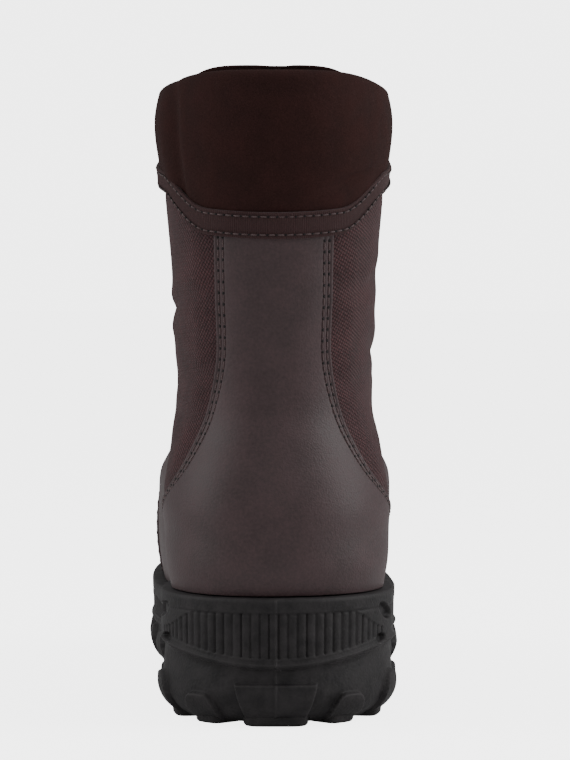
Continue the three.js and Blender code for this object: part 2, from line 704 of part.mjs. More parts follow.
add('outsole', outsole(), RUBBER);
add('midsole', midsole(), RUBBER);
add('shank', shankBar(0), STEEL);
add('insole_board', insoleBoard(), BOARD_FIBRE);
add('footbed', footbed(), INNER_CLOTH);
add('heel_stiffener', heelStiffener(), BOARD_FIBRE);
add('toe_puff', toePuff(), BOARD_FIBRE);
add('insulation', innerLayer(insulationOuter, WARM_IN), WADDING);
add('lining', innerLayer(LINING_OUT, LINING_IN), INNER_CLOTH);
add('heel_counter', heelCounter(), SMOOTH_LEATHER);
add('vamp', vamp(), SMOOTH_LEATHER);
add('toe_cap', toeCap(), SMOOTH_LEATHER);
add('collar', collar(), SOFT_CLOTH);
add('collar_binding', collarBinding(), RIBBED_TAPE);
add('tongue', tongue(), WOVEN_NYLON);
for (const [label, side] of [['lateral', 1], ['medial', -1]]) {
  add(`quarter_${label}`, quarter(side), WOVEN_NYLON);
  add(`eyestay_${label}`, piercedEyestay(side), SMOOTH_LEATHER);
  add(`gusset_${label}`, gusset(side), INNER_CLOTH);
  for (let k = 0; k < EYELET_PAIRS; k++) add(`eyelet_${label}_${k + 1}`, eyelet(k, side), DARK_METAL);
  for (let k = EYELET_PAIRS; k < PAIRS; k++) {
    add(`hook_${label}_${k - EYELET_PAIRS + 1}`, hook(k, side), DARK_METAL);
  }
}

// The origin lies at the middle of the footprint, on the ground.
const box = new THREE.Box3().setFromObject(boot);
boot.position.set(-(box.min.x + box.max.x) / 2, -(box.min.y + box.max.y) / 2, -box.min.z);

export default boot;
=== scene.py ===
# %% [markdown]
# # An insulated hunting boot
# The boot is built like the real one, from separate layers. A CAD model gives the frame: the
# overall size, the place of every piece and the moving body. This script makes the surfaces
# that people see, one piece at a time, each as a formula on a grid of numbers, and puts it
# where the frame says.

# %% Load the frame
import math

import bpy
import numpy as np
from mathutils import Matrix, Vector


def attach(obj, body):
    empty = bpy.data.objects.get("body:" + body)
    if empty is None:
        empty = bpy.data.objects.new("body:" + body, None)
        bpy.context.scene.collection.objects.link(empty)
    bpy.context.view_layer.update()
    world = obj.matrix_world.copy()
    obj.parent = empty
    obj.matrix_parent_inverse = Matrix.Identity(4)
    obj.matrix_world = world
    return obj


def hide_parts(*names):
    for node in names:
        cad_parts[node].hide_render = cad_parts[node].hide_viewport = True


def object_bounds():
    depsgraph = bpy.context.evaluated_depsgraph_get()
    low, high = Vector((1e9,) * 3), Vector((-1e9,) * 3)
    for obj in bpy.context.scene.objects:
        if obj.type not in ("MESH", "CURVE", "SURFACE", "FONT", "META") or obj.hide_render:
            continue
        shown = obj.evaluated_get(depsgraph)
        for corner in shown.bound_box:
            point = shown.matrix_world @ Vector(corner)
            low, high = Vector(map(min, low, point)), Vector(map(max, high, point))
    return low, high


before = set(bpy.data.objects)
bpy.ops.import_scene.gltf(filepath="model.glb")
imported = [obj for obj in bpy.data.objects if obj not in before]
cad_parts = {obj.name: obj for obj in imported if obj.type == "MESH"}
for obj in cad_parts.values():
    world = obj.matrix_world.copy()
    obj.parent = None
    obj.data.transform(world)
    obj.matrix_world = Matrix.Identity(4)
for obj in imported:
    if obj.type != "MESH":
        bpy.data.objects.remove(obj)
cad_low, cad_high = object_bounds()
print("CAD box in mm:", [round(1000 * (h - l)) for l, h in zip(cad_low, cad_high)])

# %% [markdown]
# ## Sizes
# The shapes are worked out in millimetres, in a frame whose origin is the back of the sole.
# The sizes follow the CAD model's, apart from a few that show, such as the width of the
# backstay and the line of the tape. Those are set a few millimetres differently here, to look
# right on the finished boot. One shift then moves a finished shape into the shared frame, in
# metres.

# %% Driving sizes, in millimetres
SOLE_LENGTH = 1000 * (cad_high[1] - cad_low[1])
SHAFT_TOP = 256  # height of the collar's top edge at the back
ANKLE = 122  # height of the narrowest ring at the back
HEEL_SEAT, BALL_SEAT, TOE_SEAT = 51, 38, 44  # heights of the edge of the foot's seat
TOE_SPRING = 8  # how far the toe of the sole is lifted
TOE_BOX = 93  # height of the toe box
FRONT_TOP = 123  # back to front at the top
HEEL_HALF, BALL_HALF, ANKLE_HALF, COLLAR_HALF = 46, 51.5, 39.5, 45  # half widths
TOP_DIP = 6  # how far the rings sag at the sides of the shaft
TOE_INWARD = 9  # how far the toe turns in
CAP_POWER = 2.2  # 2 would make the rings' ends elliptic, more makes them squarer
SOLE_LEDGE = 3.2  # how far the sole stands out past the upper
THROAT = 6  # the ring where the lacing starts
LEATHER, NYLON, PLY_GAP, LINING = 1.4, 1.3, 0.65, 1
WADDING, GUSSET, TONGUE = 3, 1, 4.6
BASE_OUT = -LEATHER - PLY_GAP  # offset of the layer under the leather
LINING_OUT = BASE_OUT - NYLON - PLY_GAP - WADDING - PLY_GAP
LINING_IN = LINING_OUT - LINING
TONGUE_OUT = LINING_IN - PLY_GAP - GUSSET - PLY_GAP - 0.15
TONGUE_IN = TONGUE_OUT - TONGUE
BINDING_BACK, BINDING_RISE, BINDING_WIDTH = 195.5, 11, 9.5
BACKSTAY_WIDTH = 50.5
FACING_GAP, EYESTAY_WIDTH = 36, 27
TOE_CAP_LENGTH = 70
SIDES = ((1, "lateral"), (-1, "medial"))


def mix(a, b, t):
    """The value at share t of the way from a to b."""
    return a + (b - a) * t


def smooth(low, high, x):
    """An S curve that goes from 0 at low to 1 at high."""
    t = np.clip((x - low) / (high - low), 0, 1)
    return t * t * (3 - 2 * t)


def bump(x, centre, width):
    """A bell curve of height 1."""
    return np.exp(-(((x - centre) / width) ** 2))


def squared(wave, power):
    """A sine or cosine pushed towards a square wave: its size to a power below 1, and its sign.
    The cosine and sine of one angle, both squared, draw a superellipse."""
    return np.sign(wave) * np.abs(wave) ** power


# %% [markdown]
# ## The surface of the upper
# A boot could be sculpted, or skinned over a few cross sections. Here its upper is a fan of
# rings, as a shoemaker measures a last: the lowest ring is the edge of the foot's seat, the
# ring round heel and instep is tilted, and the top ring is nearly level. A place is (u, v):
# u counts rings upward, and v runs from 0 at the back centre to 1 at the front centre on the
# lateral side and to -1 on the medial side. Every layer is this surface moved in or out.

# %% Rings
def shaft(share):
    """Height at a share of the way from the ankle to the top."""
    return mix(ANKLE, SHAFT_TOP, share)


def foot(share):
    """Height at the back, at a share of the way from the seat to the ankle."""
    return mix(HEEL_SEAT, ANKLE, share)


def toe_box(share):
    """Height at the front, at a share of the way from the seat to the top of the toe box."""
    return mix(TOE_SEAT, TOE_BOX, share)


def instep(share):
    """Distance from the back, at a share of the way from the shaft's front to the toe."""
    return mix(FRONT_TOP, SOLE_LENGTH, share)


H, B, A, C, L = HEEL_HALF, BALL_HALF, ANKLE_HALF, COLLAR_HALF, SOLE_LENGTH
# back y and z, front y and z, half widths at heel, waist and ball, shares of the round ends
RINGS = np.array(
    [
        [SOLE_LEDGE + 1, HEEL_SEAT, L - SOLE_LEDGE - 1, TOE_SEAT, H - 3.4, H - 8, B - 3, 0.17, 0.27],
        [1.6, foot(0.155), L - 2, toe_box(0.33), H - 1.2, H - 6, B - 0.5, 0.18, 0.28],
        [1, foot(0.31), L - 9, toe_box(0.7), H - 0.4, H - 4.5, B, 0.2, 0.3],
        [1.5, foot(0.465), instep(0.81), TOE_BOX, H + 0.4, H - 3.5, B - 1, 0.22, 0.34],
        [4, foot(0.62), instep(0.619), TOE_BOX + 10, H - 0.4, H - 3.5, B - 6, 0.26, 0.4],
        [8, foot(0.79), instep(0.4286), TOE_BOX + 23, A + 3.5, A + 2.5, A + 2.5, 0.32, 0.45],
        [11.5, ANKLE, instep(0.27), shaft(0.115), A, A, A + 1.5, 0.42, 0.5],
        [12, shaft(0.146), instep(0.164), shaft(0.315), A + 1.5, A + 1.5, A + 1.5, 0.5, 0.5],
        [9.5, shaft(0.33), FRONT_TOP + 18, shaft(0.523), A + 2.5, A + 2.5, A + 2.5, 0.5, 0.5],
        [6.5, shaft(0.523), FRONT_TOP + 10, shaft(0.708), C - 1, C - 1, C - 1, 0.5, 0.5],
        [3.5, shaft(0.7), FRONT_TOP + 5, shaft(0.846), C + 0.4, C + 0.4, C + 0.4, 0.5, 0.5],
        [2, shaft(0.854), FRONT_TOP + 2, shaft(0.946), C + 0.8, C + 0.8, C + 0.8, 0.5, 0.5],
        [3, SHAFT_TOP, FRONT_TOP, SHAFT_TOP + 2, C - 0.6, C - 0.6, C - 0.6, 0.5, 0.5],
    ]
)
TOP = len(RINGS) - 1


def along(values, u):
    """A smooth curve through evenly spaced values: a cubic on each span, whose slope at a
    value is half the step from the value before to the value after."""
    values = np.asarray(values, float)
    last = len(values) - 1
    u = np.clip(u, 0, last)
    k = np.clip(np.floor(u).astype(int), 0, last - 1)
    t = u - k
    ends = np.concatenate([[2 * values[0] - values[1]], values, [2 * values[-1] - values[-2]]])
    before, a, b, after = ends[k], ends[k + 1], ends[k + 2], ends[k + 3]
    from_a = a * (2 * t**3 - 3 * t**2 + 1) + (b - before) / 2 * (t**3 - 2 * t**2 + t)
    from_b = b * (3 * t**2 - 2 * t**3) + (after - a) / 2 * (t**3 - t**2)
    return from_a + from_b


def seat_height(y):
    """Height of the foot's seat: level at the heel, an S curve down to the ball, up at the toe."""
    down = smooth(0.24 * L, 0.62 * L, y)
    up = smooth(0.66 * L, L, y)
    return mix(HEEL_SEAT, BALL_SEAT, down) + (TOE_SEAT - BALL_SEAT) * up


def round_end(x):
    """Half of a rounded square: 0 with an upright slope at x = 0, level at x = 1."""
    return (1 - (1 - np.clip(x, 0, 1)) ** CAP_POWER) ** (1 / CAP_POWER)


def ring_point(u, angle, side):
    """A point of ring u. The angle goes from 0 at the back to pi at the front, and the share t
    of the ring's length is (1 - cos angle) / 2. The half width at t is rounded at both ends."""
    t = (1 - np.cos(angle)) / 2
    back_y, back_z, front_y, front_z, heel, waist, ball, back_end, front_end = (
        along(column, u) for column in RINGS.T
    )
    width = mix(mix(heel, waist, smooth(0.12, 0.4, t)), ball, smooth(0.38, 0.7, t))
    ends = round_end(t / back_end) * round_end((1 - t) / front_end)
    y = mix(back_y, front_y, t)
    sag = (seat_height(y) - mix(HEEL_SEAT, TOE_SEAT, t)) * (1 - smooth(0, 4.5, u))
    dip = TOP_DIP * smooth(8, TOP, u) * (4 * t * (1 - t)) ** 2
    turn = (3 * np.sin(np.pi * t) - TOE_INWARD * t**3) * (1 - smooth(0, 6.5, u))
    return np.stack([side * width * ends + turn, y, mix(back_z, front_z, t) + sag - dip], -1)


# %% [markdown]
# The angle spaces points unevenly, so a table turns v, the share of the way round, into the
# angle. It is read between its entries, and the point itself is always worked out exactly.

# %% The table of angles
LEVELS = 193  # rings in the table
TURNS = 161  # shares of the way in the table


def measure_rings(side):
    """For evenly spaced rings: the angle at evenly spaced shares of the way, and the length."""
    u = np.linspace(0, TOP, LEVELS)[:, None]
    angle = np.linspace(0, np.pi, 241)[None, :]
    points = ring_point(u, angle, side)
    steps = np.linalg.norm(np.diff(points, axis=1), axis=2)
    way = np.concatenate([np.zeros((LEVELS, 1)), np.cumsum(steps, axis=1)], axis=1)
    share = np.linspace(0, 1, TURNS)
    table = np.array([np.interp(share, w / w[-1], angle[0]) for w in way])
    return table, way[:, -1]


TABLES = {1: measure_rings(1), -1: measure_rings(-1)}


def read_table(table, u, v):
    """Reads a table between its four nearest entries."""
    x = np.clip(u / TOP, 0, 1) * (LEVELS - 1)
    y = np.clip(v, 0, 1) * (TURNS - 1)
    i = np.clip(np.floor(x).astype(int), 0, LEVELS - 2)
    j = np.clip(np.floor(y).astype(int), 0, TURNS - 2)
    a = mix(table[i, j], table[i + 1, j], x - i)
    b = mix(table[i, j + 1], table[i + 1, j + 1], x - i)
    return mix(a, b, y - j)


def girth(u):
    """The length of one side of ring u, from the back centre to the front centre."""
    return np.interp(np.clip(u, 0, TOP), np.linspace(0, TOP, LEVELS), TABLES[1][1])


def surface(u, v):
    """The upper's outer surface at (u, v)."""
    u, v = np.broadcast_arrays(np.asarray(u, float), np.asarray(v, float))
    v = v - 2 * np.round(v / 2)
    angle = np.where(
        v < 0, read_table(TABLES[-1][0], u, -v), read_table(TABLES[1][0], u, np.abs(v))
    )
    return ring_point(u, angle, np.where(v < 0, -1.0, 1.0))


def unit(vectors):
    """Vectors of length 1: each one divided by its length."""
    return vectors / np.maximum(np.linalg.norm(vectors, axis=-1, keepdims=True), 1e-9)


def normal(u, v):
    """The outward direction: the way round, crossed with the way up."""
    up = surface(np.minimum(u + 0.02, TOP), v) - surface(np.maximum(u - 0.02, 0), v)
    onward = surface(u, v + 0.012) - surface(u, v - 0.012)
    return unit(np.cross(onward, up))


def layer(u, v, offset):
    """The surface moved outward by the offset."""
    return surface(u, v) + normal(u, v) * np.asarray(offset)[..., None]


print("girth at seat, throat and top in mm:", [round(2 * float(girth(u))) for u in (0, THROAT, TOP)])

# %% [markdown]
# ## From numbers to meshes
# Blender can make a mesh from Python lists, but whole arrays are much faster. Two forms do
# nearly every piece here: a shell, which is two grids joined along their edges, and a hose,
# which is a closed section carried along a path, with both ends capped.

# %% Mesh helpers
outline_x = surface(0.0, np.linspace(-1, 1, 401))[:, 0]
SHIFT = np.array([-(outline_x.max() + outline_x.min()) / 2, -SOLE_LENGTH / 2, 0])


def to_frame(points):
    """Millimetres from the back of the sole to metres in the shared frame."""
    return (np.asarray(points) + SHIFT) * 0.001


def make_object(name, points, faces, uv=None, flat=False):
    """A mesh object at the origin, from points in millimetres and rows of corner numbers."""
    mesh = bpy.data.meshes.new(name)
    mesh.vertices.add(len(points))
    mesh.vertices.foreach_set("co", to_frame(points).astype(np.float32).ravel())
    faces = [np.asarray(f, dtype=np.int32) for f in faces if len(f)]
    corners = np.concatenate([f.ravel() for f in faces])
    sizes = np.concatenate([np.full(len(f), f.shape[1]) for f in faces])
    mesh.loops.add(len(corners))
    mesh.loops.foreach_set("vertex_index", corners)
    mesh.polygons.add(len(sizes))
    mesh.polygons.foreach_set("loop_start", np.concatenate([[0], np.cumsum(sizes)[:-1]]).astype(np.int32))
    mesh.polygons.foreach_set("use_smooth", np.full(len(sizes), not flat))
    mesh.update(calc_edges=True)
    if uv is not None:
        mesh.uv_layers.new(name="cloth").data.foreach_set("uv", uv[corners].astype(np.float32).ravel())
    mesh.validate()
    made = bpy.data.objects.new(name, mesh)
    bpy.context.scene.collection.objects.link(made)
    return made


def grid_faces(rows, columns, start=0, flip=False):
    """Quads of a grid of rows x columns points."""
    i, j = np.meshgrid(np.arange(rows - 1), np.arange(columns - 1), indexing="ij")
    a = (start + i * columns + j).ravel()
    quads = np.stack([a, a + 1, a + columns + 1, a + columns], 1)
    return quads[:, ::-1] if flip else quads


def outward_first(points, faces):
    """Turns all the faces round if the closed shape's signed volume is negative."""
    volume = 0.0
    for f in faces:
        p = [points[f[:, k]] for k in range(f.shape[1])]
        for k in range(1, f.shape[1] - 1):
            volume += np.einsum("ij,ij->", p[0], np.cross(p[k], p[k + 1]))
    return faces if volume > 0 else [f[:, ::-1] for f in faces]


def make_shell(name, u, v, outer, inner, uv=None):
    """A closed shell between two offsets of the surface, over grids of u and v."""
    rows, columns = u.shape
    points = np.concatenate(
        [layer(u, v, outer + 0 * u).reshape(-1, 3), layer(u, v, inner + 0 * u).reshape(-1, 3)]
    )
    n = rows * columns
    top = np.arange(columns)
    left = np.arange(rows) * columns
    rim = np.concatenate([top, left[1:] + columns - 1, (n - columns + top)[::-1][1:], left[::-1][1:]])
    wall = np.stack([rim[:-1], rim[:-1] + n, rim[1:] + n, rim[1:]], 1)
    faces = [grid_faces(rows, columns), grid_faces(rows, columns, n, flip=True), wall]
    if uv is None:
        uv = cloth_uv(u, v)
    uv = np.concatenate([uv.reshape(-1, 2)] * 2)
    return make_object(name, points, outward_first(points, faces), uv)


def cloth_uv(u, v):
    """Millimetres round the boot and up it, so that a weave keeps its size."""
    v = v - 2 * np.round(v / 2)
    up = np.interp(u, np.arange(TOP + 1), (RINGS[:, 1] + RINGS[:, 3]) / 2)
    return np.stack([v * girth(u), up], -1)


def hose(sections):
    """Points and faces of a closed section carried along a path, with both ends capped:
    sections has the shape (steps, around, 3)."""
    steps, count, _ = sections.shape
    i, j = np.meshgrid(np.arange(steps - 1), np.arange(count), indexing="ij")
    a = (i * count + j).ravel()
    b = (i * count + (j + 1) % count).ravel()
    sides = np.stack([a, b, b + count, a + count], 1)
    points = np.concatenate([sections.reshape(-1, 3), [sections[0].mean(0)], [sections[-1].mean(0)]])
    k = np.arange(count)
    far = (steps - 1) * count
    first = np.stack([k, np.full(count, steps * count), (k + 1) % count], 1)
    last = np.stack([far + (k + 1) % count, np.full(count, steps * count + 1), far + k], 1)
    return points, outward_first(points, [sides, first, last])


def joined(forms):
    """One form from several: their points, and their faces with the numbers moved on."""
    start = np.cumsum([0] + [len(points) for points, _ in forms])
    faces = [f + start[k] for k, (_, group) in enumerate(forms) for f in group]
    return np.concatenate([points for points, _ in forms]), faces


def spread(count, length, edge=1.2, fine=6):
    """Shares from 0 to 1, with extra ones within the edge distance of both ends."""
    near = edge / length * (1 - np.cos(np.linspace(0, np.pi / 2, fine)))
    middle = np.linspace(near[-1], 1 - near[-1], count)
    return np.concatenate([near[:-1], middle, 1 - near[-2::-1]])


def rounded(distance, radius):
    """How far a rounded edge lies below the face, at a distance from the edge."""
    d = np.clip(distance, 0, radius)
    return radius - np.sqrt(np.maximum(radius**2 - (radius - d) ** 2, 0))


# %% [markdown]
# ## Finishes
# Each finish is a small tree of nodes. Patterns that run with the cloth read the piece's own
# map in millimetres, and moulded or grained ones read Object coordinates in metres.

# %% Node helper
class Finish:
    """A material with a short way to add nodes and link them to the main shader."""

    def __init__(self, name, color, roughness, **sockets):
        self.material = bpy.data.materials.new(name)
        self.material.use_nodes = True
        self.material.diffuse_color = (*color, 1)
        self.tree = self.material.node_tree
        self.shader = next(n for n in self.tree.nodes if n.type == "BSDF_PRINCIPLED")
        self.shader.inputs["Base Color"].default_value = (*color, 1)
        self.shader.inputs["Roughness"].default_value = roughness
        for socket, value in sockets.items():
            self.shader.inputs[socket.replace("_", " ")].default_value = value

    def node(self, kind, settings=None, **inputs):
        """Adds a node; inputs are values or other nodes' sockets, named or numbered by _N."""
        made = self.tree.nodes.new("ShaderNode" + kind)
        for key, value in (settings or {}).items():
            setattr(made, key, value)
        for key, value in inputs.items():
            socket = made.inputs[int(key[1:])] if key[0] == "_" else made.inputs[key.replace("_", " ")]
            if isinstance(value, bpy.types.NodeSocket):
                self.tree.links.new(value, socket)
            else:
                socket.default_value = value
        return made

    def math(self, operation, a, b=0.0):
        """The result of one operation on two values."""
        return self.node("Math", {"operation": operation}, _0=a, _1=b).outputs[0]

    def where(self):
        """Object coordinates, in metres."""
        return self.node("TexCoord").outputs["Object"]

    def cloth(self):
        """The piece's own map, in millimetres."""
        return self.node("UVMap", {"uv_map": "cloth"}).outputs["UV"]

    def noise(self, scale, detail=3.0):
        """Cloudy noise: about scale features to a metre."""
        return self.node("TexNoise", Vector=self.where(), Scale=scale, Detail=detail).outputs["Fac"]

    def cells(self, scale):
        """Rounded cells: the distance to the nearest of scattered points, softened."""
        made = self.node("TexVoronoi", {"feature": "SMOOTH_F1"}, Vector=self.where(), Scale=scale)
        return made.outputs["Distance"]

    def ramp(self, value, low, high, a, b):
        """Maps value from low..high to a..b, held at both ends."""
        return self.node(
            "MapRange", {"clamp": True}, Value=value, From_Min=low, From_Max=high, To_Min=a, To_Max=b
        ).outputs[0]

    def blend_colors(self, factor, first, second):
        """A colour between two, by the factor."""
        made = self.node("Mix", {"data_type": "RGBA"}, _0=factor, _6=(*first, 1), _7=(*second, 1))
        return made.outputs[2]

    def connect(self, socket, value):
        """Links a value to the main shader's socket."""
        self.tree.links.new(value, self.shader.inputs[socket])

    def bump(self, *heights):
        """Bumps of (height socket, distance in metres), one on top of the other."""
        previous = None
        for height, distance in heights:
            made = self.node("Bump", Height=height, Distance=distance, Strength=1.0)
            if previous is not None:
                self.tree.links.new(previous, made.inputs["Normal"])
            previous = made.outputs["Normal"]
        self.connect("Normal", previous)


def linear(red, green, blue):
    """A colour given as 0..255 screen values, as the linear numbers that shaders use."""
    c = np.array([red, green, blue]) / 255
    return tuple(float(x) for x in np.where(c <= 0.04045, c / 12.92, ((c + 0.055) / 1.055) ** 2.4))


# %% [markdown]
# ### Smooth leather
# Coated leather has a low, even sheen. Its grain is a fine net of cells, some 0.7 mm wide,
# over a slow unevenness, and raised places get a little painted highlight. A tiled picture
# of leather would show its repeat, so all of it is worked out from Object coordinates.

# %% Smooth leather
def smooth_leather():
    """Slow noise and specks set the shade and the gloss, a painted highlight lightens convex edges, and
    cells are the grain.
    """
    f = Finish("smooth leather", linear(60, 48, 49), 0.5, Specular_IOR_Level=0.45)
    grain = f.cells(1500)
    slow = f.noise(60, 4)
    speck = f.noise(900, 2)
    tone = f.math("ADD", f.math("MULTIPLY", slow, 0.55), f.math("MULTIPLY", speck, 0.45))
    # painted highlight: convex edges are coloured lighter, for the light that catches them
    edge_highlight = f.ramp(f.node("NewGeometry").outputs["Pointiness"], 0.5, 0.58, 0, 0.35)
    shade = f.math("ADD", f.ramp(tone, 0.32, 0.68, 0, 1), edge_highlight)
    f.connect("Base Color", f.blend_colors(shade, linear(50, 35, 36), linear(72, 53, 55)))
    f.connect("Roughness", f.ramp(tone, 0.3, 0.7, 0.44, 0.6))
    f.bump((slow, 0.0002), (grain, 0.00009), (speck, 0.00004))
    return f.material


LEATHER_FINISH = smooth_leather()

# %% [markdown]
# ### Woven nylon
# The quarters are a coarse plain weave. On the map in millimetres, a thread is half a wave
# wide; where the row and column numbers add up to an even number the upright thread lies on
# top, and elsewhere the level one does. The threads differ a little in shade, and the low
# places between them get a painted shade.

# %% Woven nylon
WEAVE_ANGLE = 0.55  # the cloth is cut on the slant
WEAVE_PITCH = 1.3  # width of a thread
NYLON_DARK, NYLON_LIGHT = linear(30, 12, 13), linear(99, 57, 60)


def woven_nylon():
    """A thread's height is the sine of the place across it, and the one on top hides the other.
    The colour goes dark with the height, a painted shade between the threads.
    """
    f = Finish("woven nylon", NYLON_DARK, 0.78, Sheen_Weight=0.04, Sheen_Roughness=0.5)
    f.shader.inputs["Specular IOR Level"].default_value = 0.3
    turned = f.node("VectorRotate", Vector=f.cloth(), Angle=WEAVE_ANGLE).outputs[0]
    split = f.node("SeparateXYZ", Vector=turned)
    wobble = f.math("MULTIPLY", f.math("SUBTRACT", f.noise(900, 1), 0.5), 0.25)
    x = f.math("ADD", f.math("DIVIDE", split.outputs["X"], WEAVE_PITCH), wobble)
    y = f.math("ADD", f.math("DIVIDE", split.outputs["Y"], WEAVE_PITCH), wobble)
    total = f.math("ADD", f.math("FLOOR", x), f.math("FLOOR", y))
    upright = f.math("LESS_THAN", f.math("MODULO", f.math("ABSOLUTE", total), 2.0), 0.5)
    wave_x = f.math("SINE", f.math("MULTIPLY", f.math("FRACT", x), math.pi))
    wave_y = f.math("SINE", f.math("MULTIPLY", f.math("FRACT", y), math.pi))
    over = f.node("Mix", {"data_type": "FLOAT"}, _0=upright, _2=wave_y, _3=wave_x).outputs[0]
    under = f.node("Mix", {"data_type": "FLOAT"}, _0=upright, _2=wave_x, _3=wave_y).outputs[0]
    hollow = f.math("ADD", f.math("MULTIPLY", under, 0.55), 0.45)
    height = f.math("MULTIPLY", f.math("POWER", over, 0.7), hollow)
    thread = f.noise(1300, 2)
    patch = f.noise(70, 3)
    tone = f.math("ADD", f.math("MULTIPLY", thread, 0.7), f.math("MULTIPLY", patch, 0.3))
    # painted shade: the colour is multiplied by the thread's height, so the hollows between threads go dark
    shade = f.math("MULTIPLY", f.ramp(tone, 0.3, 0.72, 0.05, 1), height)
    f.connect("Base Color", f.blend_colors(shade, NYLON_DARK, NYLON_LIGHT))
    f.connect("Roughness", f.ramp(height, 0, 1, 0.85, 0.6))
    f.bump((patch, 0.0003), (height, 0.0003))
    return f.material


NYLON_FINISH = woven_nylon()

# %% [markdown]
# ### Soft cloth, ribbed tape, knit and wadding
# The collar is a brushed cloth: nearly black brown, with a nap. The sheen socket, for a nap
# that catches light at grazing angles, is left at nothing for the collar. The other cloths
# differ in scale, colour and sheen.

# %% Soft cloths
def brushed_cloth(name, dark, light, nap=2200, sheen=0.0):
    """Fine noise for the hairs, and a slow drift for where the nap lies another way."""
    f = Finish(name, linear(*dark), 0.9, Sheen_Weight=sheen, Sheen_Roughness=0.4)
    f.shader.inputs["Specular IOR Level"].default_value = 0.12
    hair = f.noise(nap, 4)
    drift = f.noise(110, 3)
    tone = f.math("ADD", f.math("MULTIPLY", hair, 0.6), f.math("MULTIPLY", drift, 0.4))
    shade = f.ramp(tone, 0.35, 0.66, 0, 1)
    f.connect("Base Color", f.blend_colors(shade, linear(*dark), linear(*light)))
    f.connect("Roughness", f.ramp(drift, 0.3, 0.7, 0.82, 0.96))
    f.bump((drift, 0.0006), (hair, 0.00012))
    return f.material


COLLAR_FINISH = brushed_cloth("collar cloth", (40, 22, 20), (56, 34, 32))
LINING_FINISH = brushed_cloth("lining knit", (48, 37, 35), (72, 57, 54), nap=1200, sheen=0.3)
FOOTBED_FINISH = brushed_cloth("footbed cloth", (60, 50, 47), (88, 75, 71), nap=1000, sheen=0.3)
WADDING_FINISH = brushed_cloth("wadding", (170, 164, 152), (205, 200, 190), nap=500, sheen=0.2)
BOARD_FINISH = brushed_cloth("fibre board", (120, 104, 84), (150, 134, 110), nap=700, sheen=0.0)


TAPE_THREAD_PITCH = 0.42


def ribbed_tape():
    """Level threads as a sine over the tape's width, and fibres as noise. The ribs are real."""
    f = Finish("ribbed tape", linear(47, 33, 33), 0.8, Sheen_Weight=0.05, Sheen_Roughness=0.4)
    split = f.node("SeparateXYZ", Vector=f.cloth())
    fibre = f.node("TexNoise", Vector=f.cloth(), Scale=3.2, Detail=2.0).outputs["Fac"]
    cross = f.math("SINE", f.math("MULTIPLY", split.outputs["Y"], 2 * math.pi / TAPE_THREAD_PITCH))
    shade = f.ramp(fibre, 0.3, 0.7, 0, 1)
    f.connect("Base Color", f.blend_colors(shade, linear(42, 22, 22), linear(72, 44, 44)))
    f.connect("Roughness", f.ramp(fibre, 0.3, 0.7, 0.72, 0.9))
    f.bump((cross, 0.00004), (fibre, 0.00008))
    return f.material


TAPE_FINISH = ribbed_tape()


def sewing_thread():
    """Slanting bands are the twist of the yarn: a bump, and in the colour painted shade in its grooves and
    painted highlight on its crests.
    """
    f = Finish("sewing thread", linear(62, 46, 46), 0.65, Sheen_Weight=0.2, Sheen_Roughness=0.4)
    twist = f.node("TexWave", {"bands_direction": "DIAGONAL"}, Vector=f.where(), Scale=900.0).outputs["Fac"]
    # painted shade and highlight: the twist's bands darken and lighten the colour
    f.connect("Base Color", f.blend_colors(twist, linear(50, 34, 34), linear(98, 76, 76)))
    f.bump((twist, 0.00005))
    return f.material


THREAD_FINISH = sewing_thread()

# %% [markdown]
# ### Rubber, board and metal
# Moulded rubber is dark grey, never pure black. A skin of fine leather-like cells from the
# mould breaks the gloss, and the parts that stick out are coloured paler.

# %% Rubber and metal
def sole_rubber():
    """Blotches, the mould's fine skin, and paler places where the rubber sticks out."""
    f = Finish("sole rubber", linear(42, 40, 41), 0.62, Specular_IOR_Level=0.25)
    skin = f.cells(900)
    mottle = f.noise(160, 5)
    dust = f.noise(1400, 2)
    # convex places, found through Pointiness, are coloured paler
    paler_where_convex = f.ramp(f.node("NewGeometry").outputs["Pointiness"], 0.5, 0.57, 0, 0.5)
    tone = f.math("ADD", f.ramp(mottle, 0.35, 0.7, 0, 0.7), paler_where_convex)
    f.connect("Base Color", f.blend_colors(tone, linear(28, 26, 27), linear(56, 53, 54)))
    f.connect("Roughness", f.ramp(mottle, 0.3, 0.7, 0.52, 0.72))
    f.bump((mottle, 0.00025), (skin, 0.00014), (dust, 0.00004))
    return f.material


RUBBER_FINISH = sole_rubber()


def metal(name, color, roughness, scratch):
    """Metal whose gloss changes with wear."""
    f = Finish(name, color, roughness, Metallic=1.0)
    wear = f.noise(scratch, 4)
    f.connect("Roughness", f.ramp(wear, 0.3, 0.7, roughness - 0.1, roughness + 0.12))
    f.bump((wear, 0.00004))
    return f.material


DARK_METAL_FINISH = metal("dark metal", linear(74, 71, 68), 0.38, 700)
STEEL_FINISH = metal("shank steel", linear(190, 190, 188), 0.32, 400)

# %% [markdown]
# Every new piece says three things: which body it moves with, which CAD node it stands for,
# and its material.

# %% Placing a piece
def place(piece, node, finish):
    """Gives a piece its finish, its body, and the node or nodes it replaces."""
    piece.data.materials.append(finish)
    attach(piece, "footbed" if node == "footbed" else "boot")
    nodes = [node] if isinstance(node, str) else node or []
    if nodes:
        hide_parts(*nodes)
    print(f"{piece.name}: {len(piece.data.polygons)} faces")
    return piece


# %% [markdown]
# ## Where the panels meet
# The seams are curves on the surface: the binding climbs round the sides, the heel counter
# narrows into the backstay like an hourglass, and the quarter ends at the vamp's seam below
# the throat and at the lacing gap above it.

